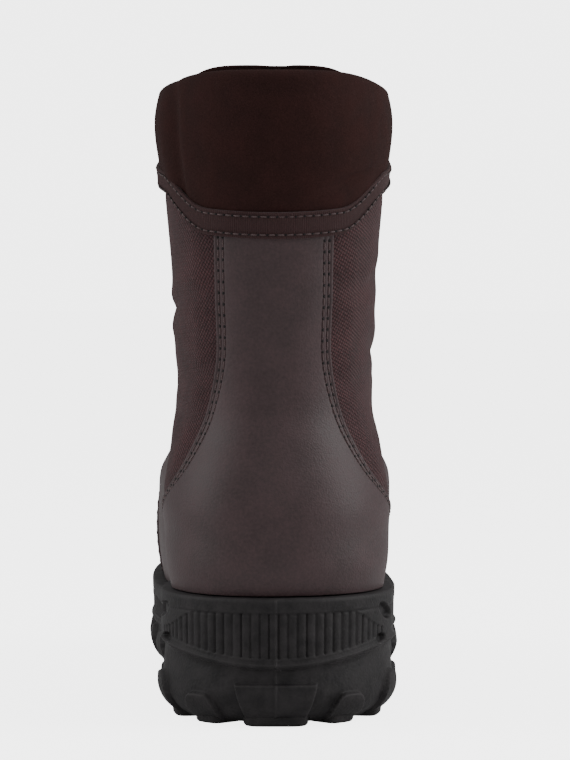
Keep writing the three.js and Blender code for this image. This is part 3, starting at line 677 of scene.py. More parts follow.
# %% Panel edges
RING_RISE = (SHAFT_TOP - ANKLE) / (TOP - THROAT)
fine_rings = np.linspace(0, TOP, 800)
BINDING_RING = float(np.interp(BINDING_BACK, along(RINGS[:, 1], fine_rings), fine_rings))
GAP_RINGS = 0.45 / RING_RISE  # the panels end this far below the tape's line
SHELL_START = 0.03  # the ring where the panels start, just over the sole
# the counter's half width along the surface, ring by ring, and the vamp seam's share of the way
COUNTER_EDGE = [128, 118, 98, 71, 51.5, 39.5, 31, BACKSTAY_WIDTH / 2, BACKSTAY_WIDTH / 2]
VAMP_SEAM = [0.43, 0.45, 0.48, 0.53, 0.59, 0.66, 0.74]


def around(v):
    """v brought back to -1..1 and taken without its sign."""
    return np.abs(v - 2 * np.round(v / 2))


def binding_line(v):
    """The ring of the tape's middle: level at the back, then an S curve up to the side."""
    way = around(v) * float(girth(BINDING_RING))
    return BINDING_RING + BINDING_RISE / RING_RISE * smooth(BACKSTAY_WIDTH / 2 + 2, 62, way)


def counter_edge(u):
    """Half the width of counter and backstay, along the surface."""
    return np.where(u < 8, along(COUNTER_EDGE, np.minimum(u, 8)), BACKSTAY_WIDTH / 2)


def from_front(distance, u):
    """The share v that lies a distance back from the front centre."""
    return 1 - distance / girth(u)


def vamp_seam(u):
    """The share v of the seam between quarter and vamp."""
    return along(VAMP_SEAM, np.minimum(u, THROAT))


def quarter_edge(u):
    """The vamp's seam up to the throat, and the facing's edge from there."""
    return mix(vamp_seam(u), from_front(FACING_GAP / 2, u), smooth(THROAT - 0.8, THROAT - 0.1, u))


def eyestay_front(u, share):
    """The lacing edge of an eyestay, which steps back a little at its foot."""
    low = from_front(FACING_GAP / 2 + 4, THROAT - 1)
    return mix(low, from_front(FACING_GAP / 2, u), smooth(0, 0.25, share))


FACING_TOP = float(binding_line(0.8))  # the tape's ring where it crosses the facings


def unevenness(points):
    """A slow ripple of under a third of a millimetre, as any hand-made upper has."""
    x, y, z = (points[..., k] for k in range(3))
    crossed = 0.16 * np.sin(x / 9 + 1.3 * np.sin(z / 17)) * np.sin(z / 13 + y / 21)
    return crossed + 0.12 * np.sin(y / 11 + x / 15 + 2.1)


# %% [markdown]
# ## Stitching
# A stitch is a short rounded bar that lies in a shallow groove, and the needle's holes show
# as dark dots between stitches. One small form is worked out, and then set along a seam by
# its arc length, so that all the stitches of a panel are one mesh. An Array on a curve could
# do that as well, but it would not turn each stitch to lie flat on the leather.

# %% Stitches
STITCH_PITCH = 4.4
STITCH_LENGTH = 3.5
STITCH_RADIUS = 0.4


def seam_frames(u, v, offset, pitch):
    """Points, directions and normals at even distances along a line on the surface."""
    points = layer(u, v, np.full(u.shape, offset))
    way = np.concatenate([[0], np.cumsum(np.linalg.norm(np.diff(points, axis=0), axis=1))])
    at = np.arange(pitch / 2, way[-1], pitch)
    u_at, v_at = np.interp(at, way, u), np.interp(at, way, v)
    here = layer(u_at, v_at, np.full(at.shape, offset))
    u_on, v_on = np.interp(at + 0.5, way, u), np.interp(at + 0.5, way, v)
    onward = unit(layer(u_on, v_on, np.full(at.shape, offset)) - here)
    outward = normal(u_at, v_at)
    return here, onward, outward


def stitches(lines, offset, length, pitch, radius):
    """A capsule at each place: rings of six points whose radius follows half an ellipse."""
    along_bar = np.array([-1, -0.8, 0, 0.8, 1])
    thick = np.array([0.35, 0.85, 1, 0.85, 0.35]) * radius
    turn = np.linspace(0, 2 * np.pi, 6, endpoint=False)
    forms = []
    for u, v in lines:
        here, onward, outward = seam_frames(u, v, offset, pitch)
        aside = np.cross(outward, onward)
        ring = np.cos(turn)[:, None, None] * aside + np.sin(turn)[:, None, None] * outward
        for k in range(len(here)):
            centre = here[k] + along_bar[:, None] * onward[k] * length / 2
            sink = (np.abs(along_bar) ** 4)[:, None] * radius * outward[k]
            forms.append(hose((centre - sink)[:, None] + thick[:, None, None] * ring[None, :, k]))
    return joined(forms)


def needle_holes(lines, offset, pitch, radius):
    """A shallow dark cone at both ends of each stitch, as a ring of eight and a centre."""
    turn = np.linspace(0, 2 * np.pi, 8, endpoint=False)
    forms = []
    for u, v in lines:
        here, onward, outward = seam_frames(u, v, offset, pitch)
        here = here + onward * pitch / 2
        aside = np.cross(outward, onward)
        rim = np.cos(turn)[:, None, None] * aside + np.sin(turn)[:, None, None] * onward
        for k in range(len(here)):
            low = here[k] - 0.6 * outward[k] + 0.6 * radius * rim[:, k]
            high = here[k] + 0.05 * outward[k] + radius * rim[:, k]
            forms.append(hose(np.stack([low, high])))
    return joined(forms)


def hole_finish():
    """Nearly black: painted shade, as the inside of a small deep hole looks."""
    # painted shade: the holes' near-black colour stands in for the shade inside them
    f = Finish("needle holes", linear(16, 12, 12), 0.9)
    depth = f.noise(2000, 2)
    f.connect("Base Color", f.blend_colors(depth, linear(10, 8, 8), linear(30, 24, 24)))
    f.bump((depth, 0.00005))
    return f.material


HOLE_FINISH = hole_finish()


def sew(name, lines, offset=0.3, length=STITCH_LENGTH, pitch=STITCH_PITCH, radius=STITCH_RADIUS):
    """A panel's stitches and its needle holes."""
    threads = stitches(lines, offset, length, pitch, radius)
    holes = needle_holes(lines, offset, pitch, 1.45 * radius)
    place(make_object(name + "_stitching", *threads), None, THREAD_FINISH)
    place(make_object(name + "_needle_holes", *holes), None, HOLE_FINISH)


# %% [markdown]
# ## Quarters
# A quarter is woven nylon over wadding, so it stands up softly between the panels that hold
# it down, and creases where the ankle bends. Offset from the surface is the sum of: the depth
# it lies at under the leather, a swelling that grows with the distance from the leather, and
# the creases, each a valley between two low ridges that follow a height. Simulated cloth would
# crease where it likes, and here each crease has its place at the ankle.

# %% Quarters
QUARTER_SWELL = 1.7
COUNTER_LAP, VAMP_LAP = 6, 6  # what lies hidden under the neighbouring leather
# height, depth, width and slope of each crease, lateral and medial
CREASES = {
    1: [(170, 1.0, 4.5, 0.10), (151, 1.25, 4.5, -0.12), (133, 0.7, 4, 0.05), (112, 0.5, 4, 0.1)],
    -1: [(167, 1.1, 4, -0.10), (155, 0.8, 3.5, 0.12), (136, 1.2, 4.5, -0.04), (118, 0.7, 4, 0.1)],
}


def creases(points, side):
    """Each crease: a valley, with a ridge on either side at about one and a half widths."""
    x, y, z = (points[..., k] for k in range(3))
    total = 0 * z
    for height, depth, width, slope in CREASES[side]:
        away = z - height - slope * (y - 25) - 1.2 * np.sin(y / 9 + height)
        reach = 0.55 + 0.45 * np.sin(y / 17 + height / 7)
        ridges = 0.5 * bump(away, 1.7 * width, width) + 0.5 * bump(away, -1.7 * width, width)
        total = total + depth * reach * (-bump(away, 0, width) + ridges)
    return total


def quarter(side, name):
    """A grid from under the counter to under vamp and eyestay, and from the sole to the tape.
    Its swelling fades out at the leather that holds it down."""
    rows, columns = np.meshgrid(spread(170, 150, 1.0, 4), spread(150, 120, 1.0, 4), indexing="ij")
    rear = BACKSTAY_WIDTH / 2 / girth(BINDING_RING)
    v_guess = mix(rear, from_front(FACING_GAP / 2, BINDING_RING), columns)
    u = mix(SHELL_START, binding_line(v_guess) - GAP_RINGS, rows)
    v = mix((counter_edge(u) - COUNTER_LAP) / girth(u), quarter_edge(u), columns)
    shown = v * girth(u) - counter_edge(u)
    to_vamp = (vamp_seam(u) - v) * girth(u)
    to_eyestay = (quarter_edge(u) - v) * girth(u) - EYESTAY_WIDTH
    ahead = mix(to_vamp, to_eyestay, smooth(THROAT - 0.4, THROAT, u))
    points = surface(u, side * v)
    free = smooth(-1.5, 15, shown) * smooth(0, 16, ahead)
    below_tape = smooth(0, 12, (binding_line(v) - u) * RING_RISE)
    swell = free * (QUARTER_SWELL * mix(0.45, 1, below_tape) + creases(points, side))
    swell = swell * smooth(0, 8, (u - SHELL_START) * 12)
    outer = BASE_OUT + swell + unevenness(points) * free
    return make_shell(name, u, side * v, outer, BASE_OUT - NYLON)


for side, name in SIDES:
    place(quarter(side, f"quarter_cloth_{name}"), f"quarter_{name}", NYLON_FINISH)

# %% [markdown]
# ## Leather panels
# Each panel is a skived sheet: its edge is rounded over half a millimetre, a folded rim stands
# a little higher, and the thread pulls a groove along each seam. Solidify and Bevel could make
# such an edge, but as one formula of the distance to the edge it all comes out together.

# %% Leather panel profile
RIM_WIDTH = 1.5
ROWS_AT = (2.1, 4.4)  # the two rows of stitches, from the edge


def leather_profile(distance, rows=ROWS_AT):
    """Height over the panel's face at a distance from its edge: rounded edge, raised rim, and
    one groove for each row of stitches."""
    height = 0.32 * (1 - smooth(0.9, RIM_WIDTH, distance)) - rounded(distance, 0.7)
    for row in rows:
        height = height - 0.3 * bump(distance, row, 0.55)
    return height


def leather_panel(name, u, v, edge_distance, node, base=0.15, rows=ROWS_AT, puff=0.0):
    """A panel on a grid, from the distance of each grid point to its nearest free edge."""
    ripple = unevenness(surface(u, v)) * smooth(0, 8, edge_distance)
    outer = base + leather_profile(edge_distance, rows) + ripple + puff
    return place(make_shell(name, u, v, outer, base - LEATHER), node, LEATHER_FINISH)


# %% [markdown]
# ## Heel counter and backstay
# On the boot this is one piece of leather, wide round the heel and narrow up the back, sewn on
# with two rows. It could be cut out of the quarters with a texture, but then it would have no
# edge to catch the light, so it is a panel of its own that lies on top.

# %% Heel counter and backstay
def counter_side(u, side, distance):
    """A line on the counter, at a distance inside its edge."""
    return side * (counter_edge(u) - distance) / girth(u)


share, column = np.meshgrid(spread(210, 140), spread(150, 90, 2.4, 8), indexing="ij")
counter_u = mix(SHELL_START, BINDING_RING - GAP_RINGS, share)
counter_v = (2 * column - 1) * counter_edge(counter_u) / girth(counter_u)
counter_gap = (1 - np.abs(2 * column - 1)) * counter_edge(counter_u)
back_dent = -0.2 * bump(surface(counter_u, counter_v)[..., 2], 128, 16) * smooth(4, 16, counter_gap)
leather_panel("heel_counter_leather", counter_u, counter_v, counter_gap, "heel_counter", puff=back_dent)

seam_u = np.linspace(0.12, BINDING_RING - 0.3, 900)
counter_lines = [(seam_u, counter_side(seam_u, side, row)) for side in (1, -1) for row in ROWS_AT]
sew("heel_counter", counter_lines, offset=0.12)


# %% [markdown]
# ## Vamp
# The vamp is the leather over the front of the foot, and laps over the quarters. Its grid runs
# from one side round the toe to the other. Where the foot bends it has two shallow wrinkles,
# which are worked into the offset, because a bump map would leave the outline straight.

# %% Vamp
VAMP_OUT = BASE_OUT + 1.2
VAMP_TOP = THROAT - 0.15
WRINKLES = ((208, 6, 0.9), (190, 5, 0.7))  # distance from the back, width and depth


def vamp_edge(u):
    """The share v of the vamp's sewn edge, a seam's gap past the quarter's line."""
    return vamp_seam(u) + 0.8 / girth(u)


share, column = np.meshgrid(spread(120, 110), spread(240, 250, 1.6, 6), indexing="ij")
vamp_u = mix(SHELL_START, VAMP_TOP, share)
lap = VAMP_LAP / girth(vamp_u)
vamp_v = mix(vamp_edge(vamp_u) - lap, 2 - vamp_edge(vamp_u) + lap, column)
vamp_gap = np.minimum(column, 1 - column) * 2 * (1 - vamp_edge(vamp_u) + lap) * girth(vamp_u)
vamp_gap = np.minimum(vamp_gap, (VAMP_TOP - vamp_u) * 14)
from_back = surface(vamp_u, vamp_v)[..., 1]
flex = sum(depth * bump(from_back, centre, width) for centre, width, depth in WRINKLES)
flex = -flex * smooth(3.4, 4.6, vamp_u) * smooth(2, 12, vamp_gap)
leather_panel("vamp_leather", vamp_u, vamp_v, vamp_gap, "vamp", base=VAMP_OUT, puff=flex)
seam_u = np.linspace(0.12, THROAT - 0.3, 400)
vamp_lines = []
for side, _ in SIDES:
    for row in ROWS_AT:
        vamp_lines.append((seam_u, side * (vamp_edge(seam_u) + (row - VAMP_LAP) / girth(seam_u))))
sew("vamp", vamp_lines, offset=VAMP_OUT)

# %% [markdown]
# ## Toe cap
# The cap is a second layer of leather over the toe, with a straight rear edge across the foot.
# The rings run along the foot there, so for each ring the place where it passes the edge is
# looked up, and the grid starts from it. The stitches follow lines found in the same way.

# %% Toe cap
CAP_REAR = SOLE_LENGTH - TOE_CAP_LENGTH


def cap_edge(u):
    """For each ring: the v where the ring passes the toe cap's rear edge."""
    v = np.linspace(0.3, 1, 500)
    y = surface(u[:, None], v[None, :])[..., 1]
    return np.minimum(v[np.argmax(y > CAP_REAR, axis=1)], 0.982)


cap_top = float(np.interp(-CAP_REAR, -RINGS[:7, 2], np.arange(7))) - 0.12
cap_levels = mix(SHELL_START, cap_top, spread(90, 80))
cap_edges = np.interp(cap_levels, np.linspace(0, cap_top, 60), cap_edge(np.linspace(0, cap_top, 60)))
cap_column = spread(200, 180, 1.6, 6)
cap_u = np.repeat(cap_levels[:, None], len(cap_column), 1)
cap_v = mix(cap_edges[:, None], 2 - cap_edges[:, None], cap_column[None, :])
cap_gap = np.minimum(surface(cap_u, cap_v)[..., 1] - CAP_REAR, 40)
leather_panel("toe_cap_leather", cap_u, cap_v, np.maximum(cap_gap, 0), "toe_cap", base=0.3)
cap_lines = []
for row in ROWS_AT:
    contour = CAP_REAR + row  # a row of stitches lies at this distance from the back
    highest = float(np.interp(-contour, -RINGS[:7, 2], np.arange(7)))
    line_u = highest * np.sin(np.linspace(0.04, np.pi / 2, 260))
    ways = np.linspace(0.3, 1, 900)
    past = surface(line_u[:, None], ways[None, :])[..., 1] > contour
    line_v = np.where(past.any(axis=1), ways[np.argmax(past, axis=1)], 1.0)
    line_v = np.convolve(np.pad(line_v, 4, mode="edge"), np.ones(9) / 9, mode="valid")
    cap_lines.append((np.concatenate([line_u, line_u[::-1]]), np.concatenate([line_v, 2 - line_v[::-1]])))
sew("toe_cap", cap_lines, offset=0.3)


# %% [markdown]
# ## Eyestays
# The two strips that carry eyelets and hooks are leather panels too, folded at the lacing edge
# and sewn down along both long sides with one row each.

# %% Eyestays
EYESTAY_ROW = 2.7


def eyestay(side, name):
    """A strip of even width from the lacing edge back, with its two rows of stitches."""
    share, column = np.meshgrid(spread(120, 130), spread(40, EYESTAY_WIDTH, 1.6, 6), indexing="ij")
    top = FACING_TOP - GAP_RINGS
    u = mix(THROAT - 1, top, share)
    front = eyestay_front(u, share)
    v = front - (1 - column) * EYESTAY_WIDTH / girth(u)
    gap = np.minimum(column, 1 - column) * EYESTAY_WIDTH
    gap = np.minimum(gap, share * 130)
    strip = f"eyestay_leather_{name}"
    leather_panel(strip, u, side * v, gap, f"eyestay_{name}", base=0.0, rows=(EYESTAY_ROW,))
    share = np.linspace(0.03, 0.97, 300)
    u = mix(THROAT - 1, top, share)
    front = eyestay_front(u, share)
    rear = front - EYESTAY_WIDTH / girth(u)
    row = EYESTAY_ROW / girth(u)
    lines = [(u, side * (front - row)), (u, side * (rear + row))]
    sew(f"eyestay_{name}", lines, offset=0.0)


for side, name in SIDES:
    eyestay(side, name)

# %% [markdown]
# ## Collar
# The collar is a foam tube under brushed cloth. It could be swept as a plain tube, but that
# would look like a ring. Its section starts at the tape on the outside, swells, rolls over the
# top and comes down inside to the lining.

# %% Collar
COLLAR_SWELL = 1.4
ROLL = 6.5  # height of the part that rolls over the top
OUTSIDE_TO, OVER_TO = 0.42, 0.62  # shares of the section where the roll starts and ends


def collar_folds(points):
    """Soft folds: an upright fold at the medial back corner, and a crease over the tape on the
    lateral side, on top of a slow waviness."""
    x, y, z = (points[..., k] for k in range(3))
    low = smooth(196, 214, z) * smooth(262, 244, z)
    corner = bump(y, 12, 26) * (x < 0)
    ridge = 1.8 * bump(x + 0.1 * (z - 232), -42, 2.4) * corner
    valley = -2.2 * bump(x + 0.1 * (z - 232), -37.5, 1.8) * corner
    crease = -2.0 * bump(z - 213 - 0.45 * (x - 28), 0, 2.2) * bump(x, 30, 9) * bump(y, 10, 30)
    slow = 0.5 * np.sin(x / 13 + z / 19) + 0.4 * np.sin(y / 14 - z / 11 + 1.0)
    return low * (ridge + valley + crease + slow)


def collar():
    """Section by share q: up the outside, over the top in half a circle, down the inside."""
    q = np.linspace(0, 1, 120)
    v_end = from_front(FACING_GAP / 2, TOP - 1)
    v = np.linspace(-v_end, v_end, 420)
    q, v = np.meshgrid(q, v, indexing="xy")
    outside = np.clip(q / OUTSIDE_TO, 0, 1)
    over = np.clip((q - OUTSIDE_TO) / 0.2, 0, 1)
    inside = np.clip((q - OVER_TO) / 0.38, 0, 1)
    line = binding_line(v)
    shoulder = TOP - ROLL / RING_RISE
    u = mix(line, shoulder, outside) + ROLL / RING_RISE * np.sin(np.pi * over) ** 0.8
    u = u - (shoulder - line) * inside
    swell = 0.3 + COLLAR_SWELL * np.sin(np.pi * outside * 0.8)
    centre = (0.3 + COLLAR_SWELL * np.sin(np.pi * 0.8) + LINING_IN + 0.5) / 2
    half = centre - (LINING_IN + 0.5)
    offset = np.where(q < OUTSIDE_TO, swell, centre + half * np.cos(np.pi * over))
    offset = np.where(inside > 0, LINING_IN + 0.5 - 1.1 * smooth(0.4, 0.9, inside), offset)
    points = surface(u, v)
    ends = (1 - (np.abs(v) / v_end) ** 60) ** 0.5
    middle = (LINING_IN + 0.3) / 2
    folds = collar_folds(points) * np.where(q < 0.52, 1.0, 0.35)
    offset = middle + (offset + folds - middle) * ends
    return hose(layer(u, v, offset))


collar_piece = make_object("collar_padding", *collar())
place(collar_piece, "collar", COLLAR_FINISH)

# %% [markdown]
# ## Tape
# The tape that covers the collar's seam is grosgrain: its ribs run across it, some 0.85 mm
# apart. A bump map could fake them, but they are real here, as a cosine along the tape, because
# they catch the light along the whole edge.

# %% Collar tape
RIB_PITCH = 0.85
TAPE_SEAM = 3.2  # each row of stitches, from the tape's middle


def collar_tape():
    """A band along the tape's line: ribs along it, a groove by each seam, and a slow wave."""
    v_end = from_front(FACING_GAP / 2 + 1, TOP - 1)
    length = 2 * v_end * float(girth(BINDING_RING))
    column = np.linspace(0, 1, int(length / RIB_PITCH) * 4 + 1)
    share, column = np.meshgrid(spread(9, BINDING_WIDTH, 0.8, 4), column, indexing="ij")
    v = (2 * column - 1) * v_end
    u = binding_line(v) + (share - 0.5) * BINDING_WIDTH / RING_RISE
    edge = np.minimum(share, 1 - share) * BINDING_WIDTH
    seat = 0.55 + COLLAR_SWELL * 0.9 * smooth(0, 0.5, u - binding_line(v))
    rib = 0.16 * np.cos(2 * np.pi * column * length / RIB_PITCH)
    pull = -0.28 * bump(edge, 1.5, 0.6)
    wave = 0.25 * np.sin(v * 23) + 0.2 * np.sin(v * 41 + 1)
    uv = np.stack([v * float(girth(BINDING_RING)), share * BINDING_WIDTH], -1)
    outer = seat + 1.0 + rib + pull + wave - 0.7 * rounded(edge, 0.8)
    return make_shell("collar_tape", u, v, outer, seat - 0.6, uv)


place(collar_tape(), "collar_binding", TAPE_FINISH)
tape_v = np.linspace(-0.86, 0.86, 1500)
tape_lines = []
for edge in (1, -1):
    tape_lines.append((binding_line(tape_v) + edge * TAPE_SEAM / RING_RISE, tape_v))
sew("collar_tape", tape_lines, 2.0, length=2.5, pitch=3.6, radius=0.3)

# %% [markdown]
# ## Tongue, gussets and lining
# The tongue is a long pad behind the facings, with sewn channels across it; its top stands up
# in front of the leg, and shows over the collar from behind. A bent box would do for a flat
# tongue, but this one is padded, so its section is a lens that swells between the channels. A
# gusset on either side joins it to the shaft.

# %% Tongue
TONGUE_WIDTH = 84
TONGUE_BOTTOM = 5.3
TONGUE_RISE = 6
TONGUE_TOP_HALF = 32


def tongue():
    """Lens-shaped section across, swelling between channels. It follows the shaft up to two
    thirds of its height, and then turns into a flatter arc whose top is drawn up."""
    round_it = np.linspace(0, 2 * np.pi, 96, endpoint=False)
    rows, turn = np.meshgrid(np.linspace(0, 1, 200), round_it, indexing="ij")
    u = mix(TONGUE_BOTTOM, TOP + 0.15, rows)
    narrow = mix(0.82, 1, smooth(0, 0.5, rows)) * mix(1, 0.8, smooth(0.7, 1, rows))
    across = squared(np.cos(turn), 0.6)
    thick = squared(np.sin(turn), 0.75)
    channels = 0.72 + 0.28 * np.abs(np.sin(np.pi * rows * 7)) ** 0.5
    half_thick = (TONGUE_OUT - TONGUE_IN) / 2 * channels * np.clip((1.004 - rows) * 40, 0, 1) ** 0.5
    level = np.minimum(u, TOP)
    middle = (TONGUE_OUT + TONGUE_IN) / 2
    v = 1 + across * narrow * TONGUE_WIDTH / 2 / girth(level)
    points = layer(level, v, middle + thick * half_thick)
    arc = layer(level, np.ones(level.shape), middle)
    arc[..., 0] += TONGUE_TOP_HALF * across - 1.5
    arc[..., 1] += thick * half_thick - 8 * across**2
    points = mix(points, arc, smooth(0.7, 0.93, rows)[..., None])
    notch = 0.9 * bump(across, 0.1, 0.1)
    points[..., 2] += (TONGUE_RISE - notch) * smooth(0.88, 1, rows) * (1 - 0.85 * np.abs(across) ** 5)
    return hose(points)


tongue_piece = make_object("tongue_pad", *tongue())
place(tongue_piece, "tongue", COLLAR_FINISH)

# %% Gussets
GUSSET_OUT, GUSSET_IN = -9.3, -10.2  # offsets of its two faces
GUSSET_REAR = 50  # from the front centre
for side, name in SIDES:
    share, column = np.meshgrid(np.linspace(0, 1, 70), np.linspace(0, 1, 30), indexing="ij")
    gusset_u = mix(THROAT + 0.25, FACING_TOP - 0.5, share)
    gusset_front = from_front(FACING_GAP / 2 - 9, gusset_u)
    gusset_v = side * mix(from_front(GUSSET_REAR, gusset_u), gusset_front, column)
    pleat = 0.3 * np.sin(column * 9 + 4 * share)
    faces = GUSSET_OUT + pleat, GUSSET_IN + pleat
    gusset = make_shell(f"gusset_cloth_{name}", gusset_u, gusset_v, *faces)
    place(gusset, f"gusset_{name}", LINING_FINISH)

# %% [markdown]
# ## Lining and wadding
# Inside the boot a knitted lining covers a quilted layer of wadding. Both go round the whole
# foot and open with the facings. One function makes them, since they differ only in depth, in
# the strength of the quilting and in where they end.

# %% Lining and wadding
STEADY = 0.79  # up to here the columns stay put, and past it they move to the front edge
QUILT_PITCH = 24
WADDING_OUT = BASE_OUT - NYLON - PLY_GAP - 1.9
WADDING_IN = LINING_OUT + PLY_GAP + 0.4


def inner_edge(u, behind_facing):
    """The front edge's share v: the front centre below the throat, and behind the facing above."""
    facing = from_front(FACING_GAP / 2 + behind_facing, u)
    return mix(1 - 0.4 / girth(u), facing, smooth(THROAT - 1.3, THROAT - 0.15, u))


def inside_layer(name, outer, inner, quilt, below_tape, behind_facing):
    """From the seat to the tape; the quilting is the root of two crossed sines."""
    share, column = np.meshgrid(np.linspace(0, 1, 110), np.linspace(-1, 1, 241), indexing="ij")
    steady = np.minimum(np.abs(column), STEADY)
    last = (np.abs(column) - steady) / (1 - STEADY)
    u = mix(0.32, binding_line(column * 0.9) - below_tape, share)
    moved = mix(STEADY, inner_edge(u, behind_facing), last)
    v = np.sign(column) * np.where(last > 0, moved, steady)
    along_x, up = v * girth(u) / QUILT_PITCH, u * 1.1
    swell = quilt * np.abs(np.sin(np.pi * (along_x + up)) * np.sin(np.pi * (along_x - up))) ** 0.5
    return make_shell(name, u, v, outer, inner - swell + quilt * 0.5)


lining_piece = inside_layer("lining_knit", LINING_OUT, LINING_IN, 0.5, -0.12, 3)
place(lining_piece, "lining", LINING_FINISH)
wadding_piece = inside_layer("wadding_layer", WADDING_OUT, WADDING_IN, 0.3, 0.5, 8)
place(wadding_piece, "insulation", WADDING_FINISH)

# %% [markdown]
# ## Footbed
# The removable footbed is a thin cushion cut to the sole's outline, and it is the one piece
# that moves: it lifts out. It could be cut from a sheet, but its edges are moulded round, so it
# is a hose whose section across is a flattened superellipse with a rim that cups the foot.

# %% Footbed
def outline(v, outward):
    """The edge of the foot's seat in plan, moved outward."""
    here = surface(0.0, v)
    onward = surface(0.0, v + 0.01) - surface(0.0, v - 0.01)
    onward[..., 2] = 0
    onward = unit(onward)
    return np.stack([here[..., 0] + onward[..., 1] * outward, here[..., 1] - onward[..., 0] * outward], -1)


FOOTBED_EDGE = LINING_IN - 1.6
FOOTBED_UNDER, FOOTBED_OVER = 2.8, 7.3


def footbed():
    """A section for each way round: as wide as the foot's seat there, and lifted to its height."""
    round_it = np.linspace(0, 2 * np.pi, 72, endpoint=False)
    way, turn = np.meshgrid(np.linspace(0.002, 0.998, 260), round_it, indexing="ij")
    across = squared(np.cos(turn), 0.35)
    thick = squared(np.sin(turn), 0.35)
    right, left = outline(way, FOOTBED_EDGE), outline(-way, FOOTBED_EDGE)
    plan = (right + left) / 2 + across[..., None] * (right - left) / 2
    cup = 0.5 * np.abs(across) ** 4 * (thick > 0)
    middle = (FOOTBED_UNDER + FOOTBED_OVER) / 2
    half = (FOOTBED_OVER - FOOTBED_UNDER) / 2 - 0.1
    height = seat_height(plan[..., 1]) + middle + thick * (half - 0.5 + cup)
    return hose(np.concatenate([plan, height[..., None]], -1))


place(make_object("footbed_cushion", *footbed()), "footbed", FOOTBED_FINISH)

# %% [markdown]
# ## Sole
# The sole is moulded rubber. Its side wall is worked out as a distance outward from the
# foot's outline, over the way round and the height: a smooth band under the upper, a lens of
# upright ribs at the heel and another at the ball, a bead that sweeps along the side, a slot
# and a hole on each side of the heel, and the mould's parting line at the back. Booleans could
# cut all these, but a sum of small reliefs keeps the mesh clean and every edge soft.

# %% Sole wall
SPLIT_HEEL, SPLIT_TOE = 27, 17
LUG_COUNT = 11  # rim lugs on each side
ARCH_BACK = 88  # where the heel's lugs end
WALL_RIB_PITCH = 3.45
LENS_TOP, LENS_HALF = 45, 43  # the heel's ribbed lens: top height and half width
BALL_LENS_AT, BALL_LENS_HALF = 0.66 * L, 45
SLOT_AT, SLOT_HEIGHT, SLOT_HALF_WIDTH, SLOT_HALF_HEIGHT, SLOT_SLANT = 43, 43.2, 1.7, 4.2, 0.45
HOLE_AT, HOLE_HEIGHT, HOLE_RADIUS = 41.5, 32.6, 1.7
WEDGE_AT, WEDGE_TOP = 0.8, 17.5  # the wedge at the back centre
FIRST_CLAW_TOP, CLAW_TOP, CLAW_HALF = 13.6, 19.5, 8.0
HALF_WAY = float(girth(0.0))


def spring_height(y):
    """How far the sole is lifted at the toe."""
    return TOE_SPRING * smooth(0.72 * L, L, y) ** 1.2


def split_height(y):
    """Height of the joint between midsole and outsole away from the heel."""
    return mix(SPLIT_HEEL, SPLIT_TOE, smooth(0.3 * L, 0.6 * L, y)) + spring_height(y)


def bead_height(x, y):
    """The bead: lowest at the back centre, up to the tips of the lens, then level."""
    at_heel = 23.6 + 7 * np.minimum(np.abs(x) / LENS_HALF, 1) ** 2
    return mix(at_heel, split_height(y) + 4, smooth(25, 70, y))


def lens(x, y, z):
    """1 inside the ribbed lens at the heel, with soft edges, and likewise at the ball."""
    heel_top = LENS_TOP - 8 * smooth(30, LENS_HALF + 1, np.abs(x))
    at_heel = smooth(0, 0.6, heel_top - z) * smooth(0, 0.6, z - bead_height(x, y) - 3.2)
    at_heel = at_heel * (y < 45) * smooth(0, 1, LENS_HALF - np.abs(x))
    ahead = y - BALL_LENS_AT
    belly = np.sqrt(np.maximum(1 - (ahead / BALL_LENS_HALF) ** 2, 0))
    top = split_height(y) + 7 + 8 * belly
    at_ball = smooth(0, 0.6, top - z) * smooth(0, 0.6, z - split_height(y) - 6.5)
    at_ball = at_ball * (np.abs(ahead) < BALL_LENS_HALF)
    return np.maximum(at_heel, at_ball)


def rim_lugs_at():
    """How far round the rim lugs stand, in millimetres from the back centre."""
    return mix(0.085, 0.93, np.linspace(0, 1, LUG_COUNT)) * HALF_WAY


def claw(x, y, z, way):
    """1 on the rim lugs where they climb the wall: a band round each lug's middle with a
    rounded top, low next to the back centre and high elsewhere; and the back's wedge."""
    up = z - spring_height(y)
    total = 0 * x
    for k, middle in enumerate(rim_lugs_at()):
        top = FIRST_CLAW_TOP if k == 0 else CLAW_TOP
        side = np.abs(way - middle) / CLAW_HALF
        arch = top * np.sqrt(np.maximum(1 - side**4, 0))
        total = np.maximum(total, smooth(0, 1.6, arch - up) * (side < 1))
    waist = smooth(ARCH_BACK - 4, ARCH_BACK, y) * smooth(ARCH_BACK + 44, ARCH_BACK + 40, y)
    total = total * (1 - waist)
    wedge = smooth(0, 1.0, mix(12.5, 16.5, up / WEDGE_TOP) - np.abs(x - WEDGE_AT))
    wedge = wedge * smooth(0, 0.9, WEDGE_TOP - up) * (y < 30)
    return np.maximum(total, wedge)


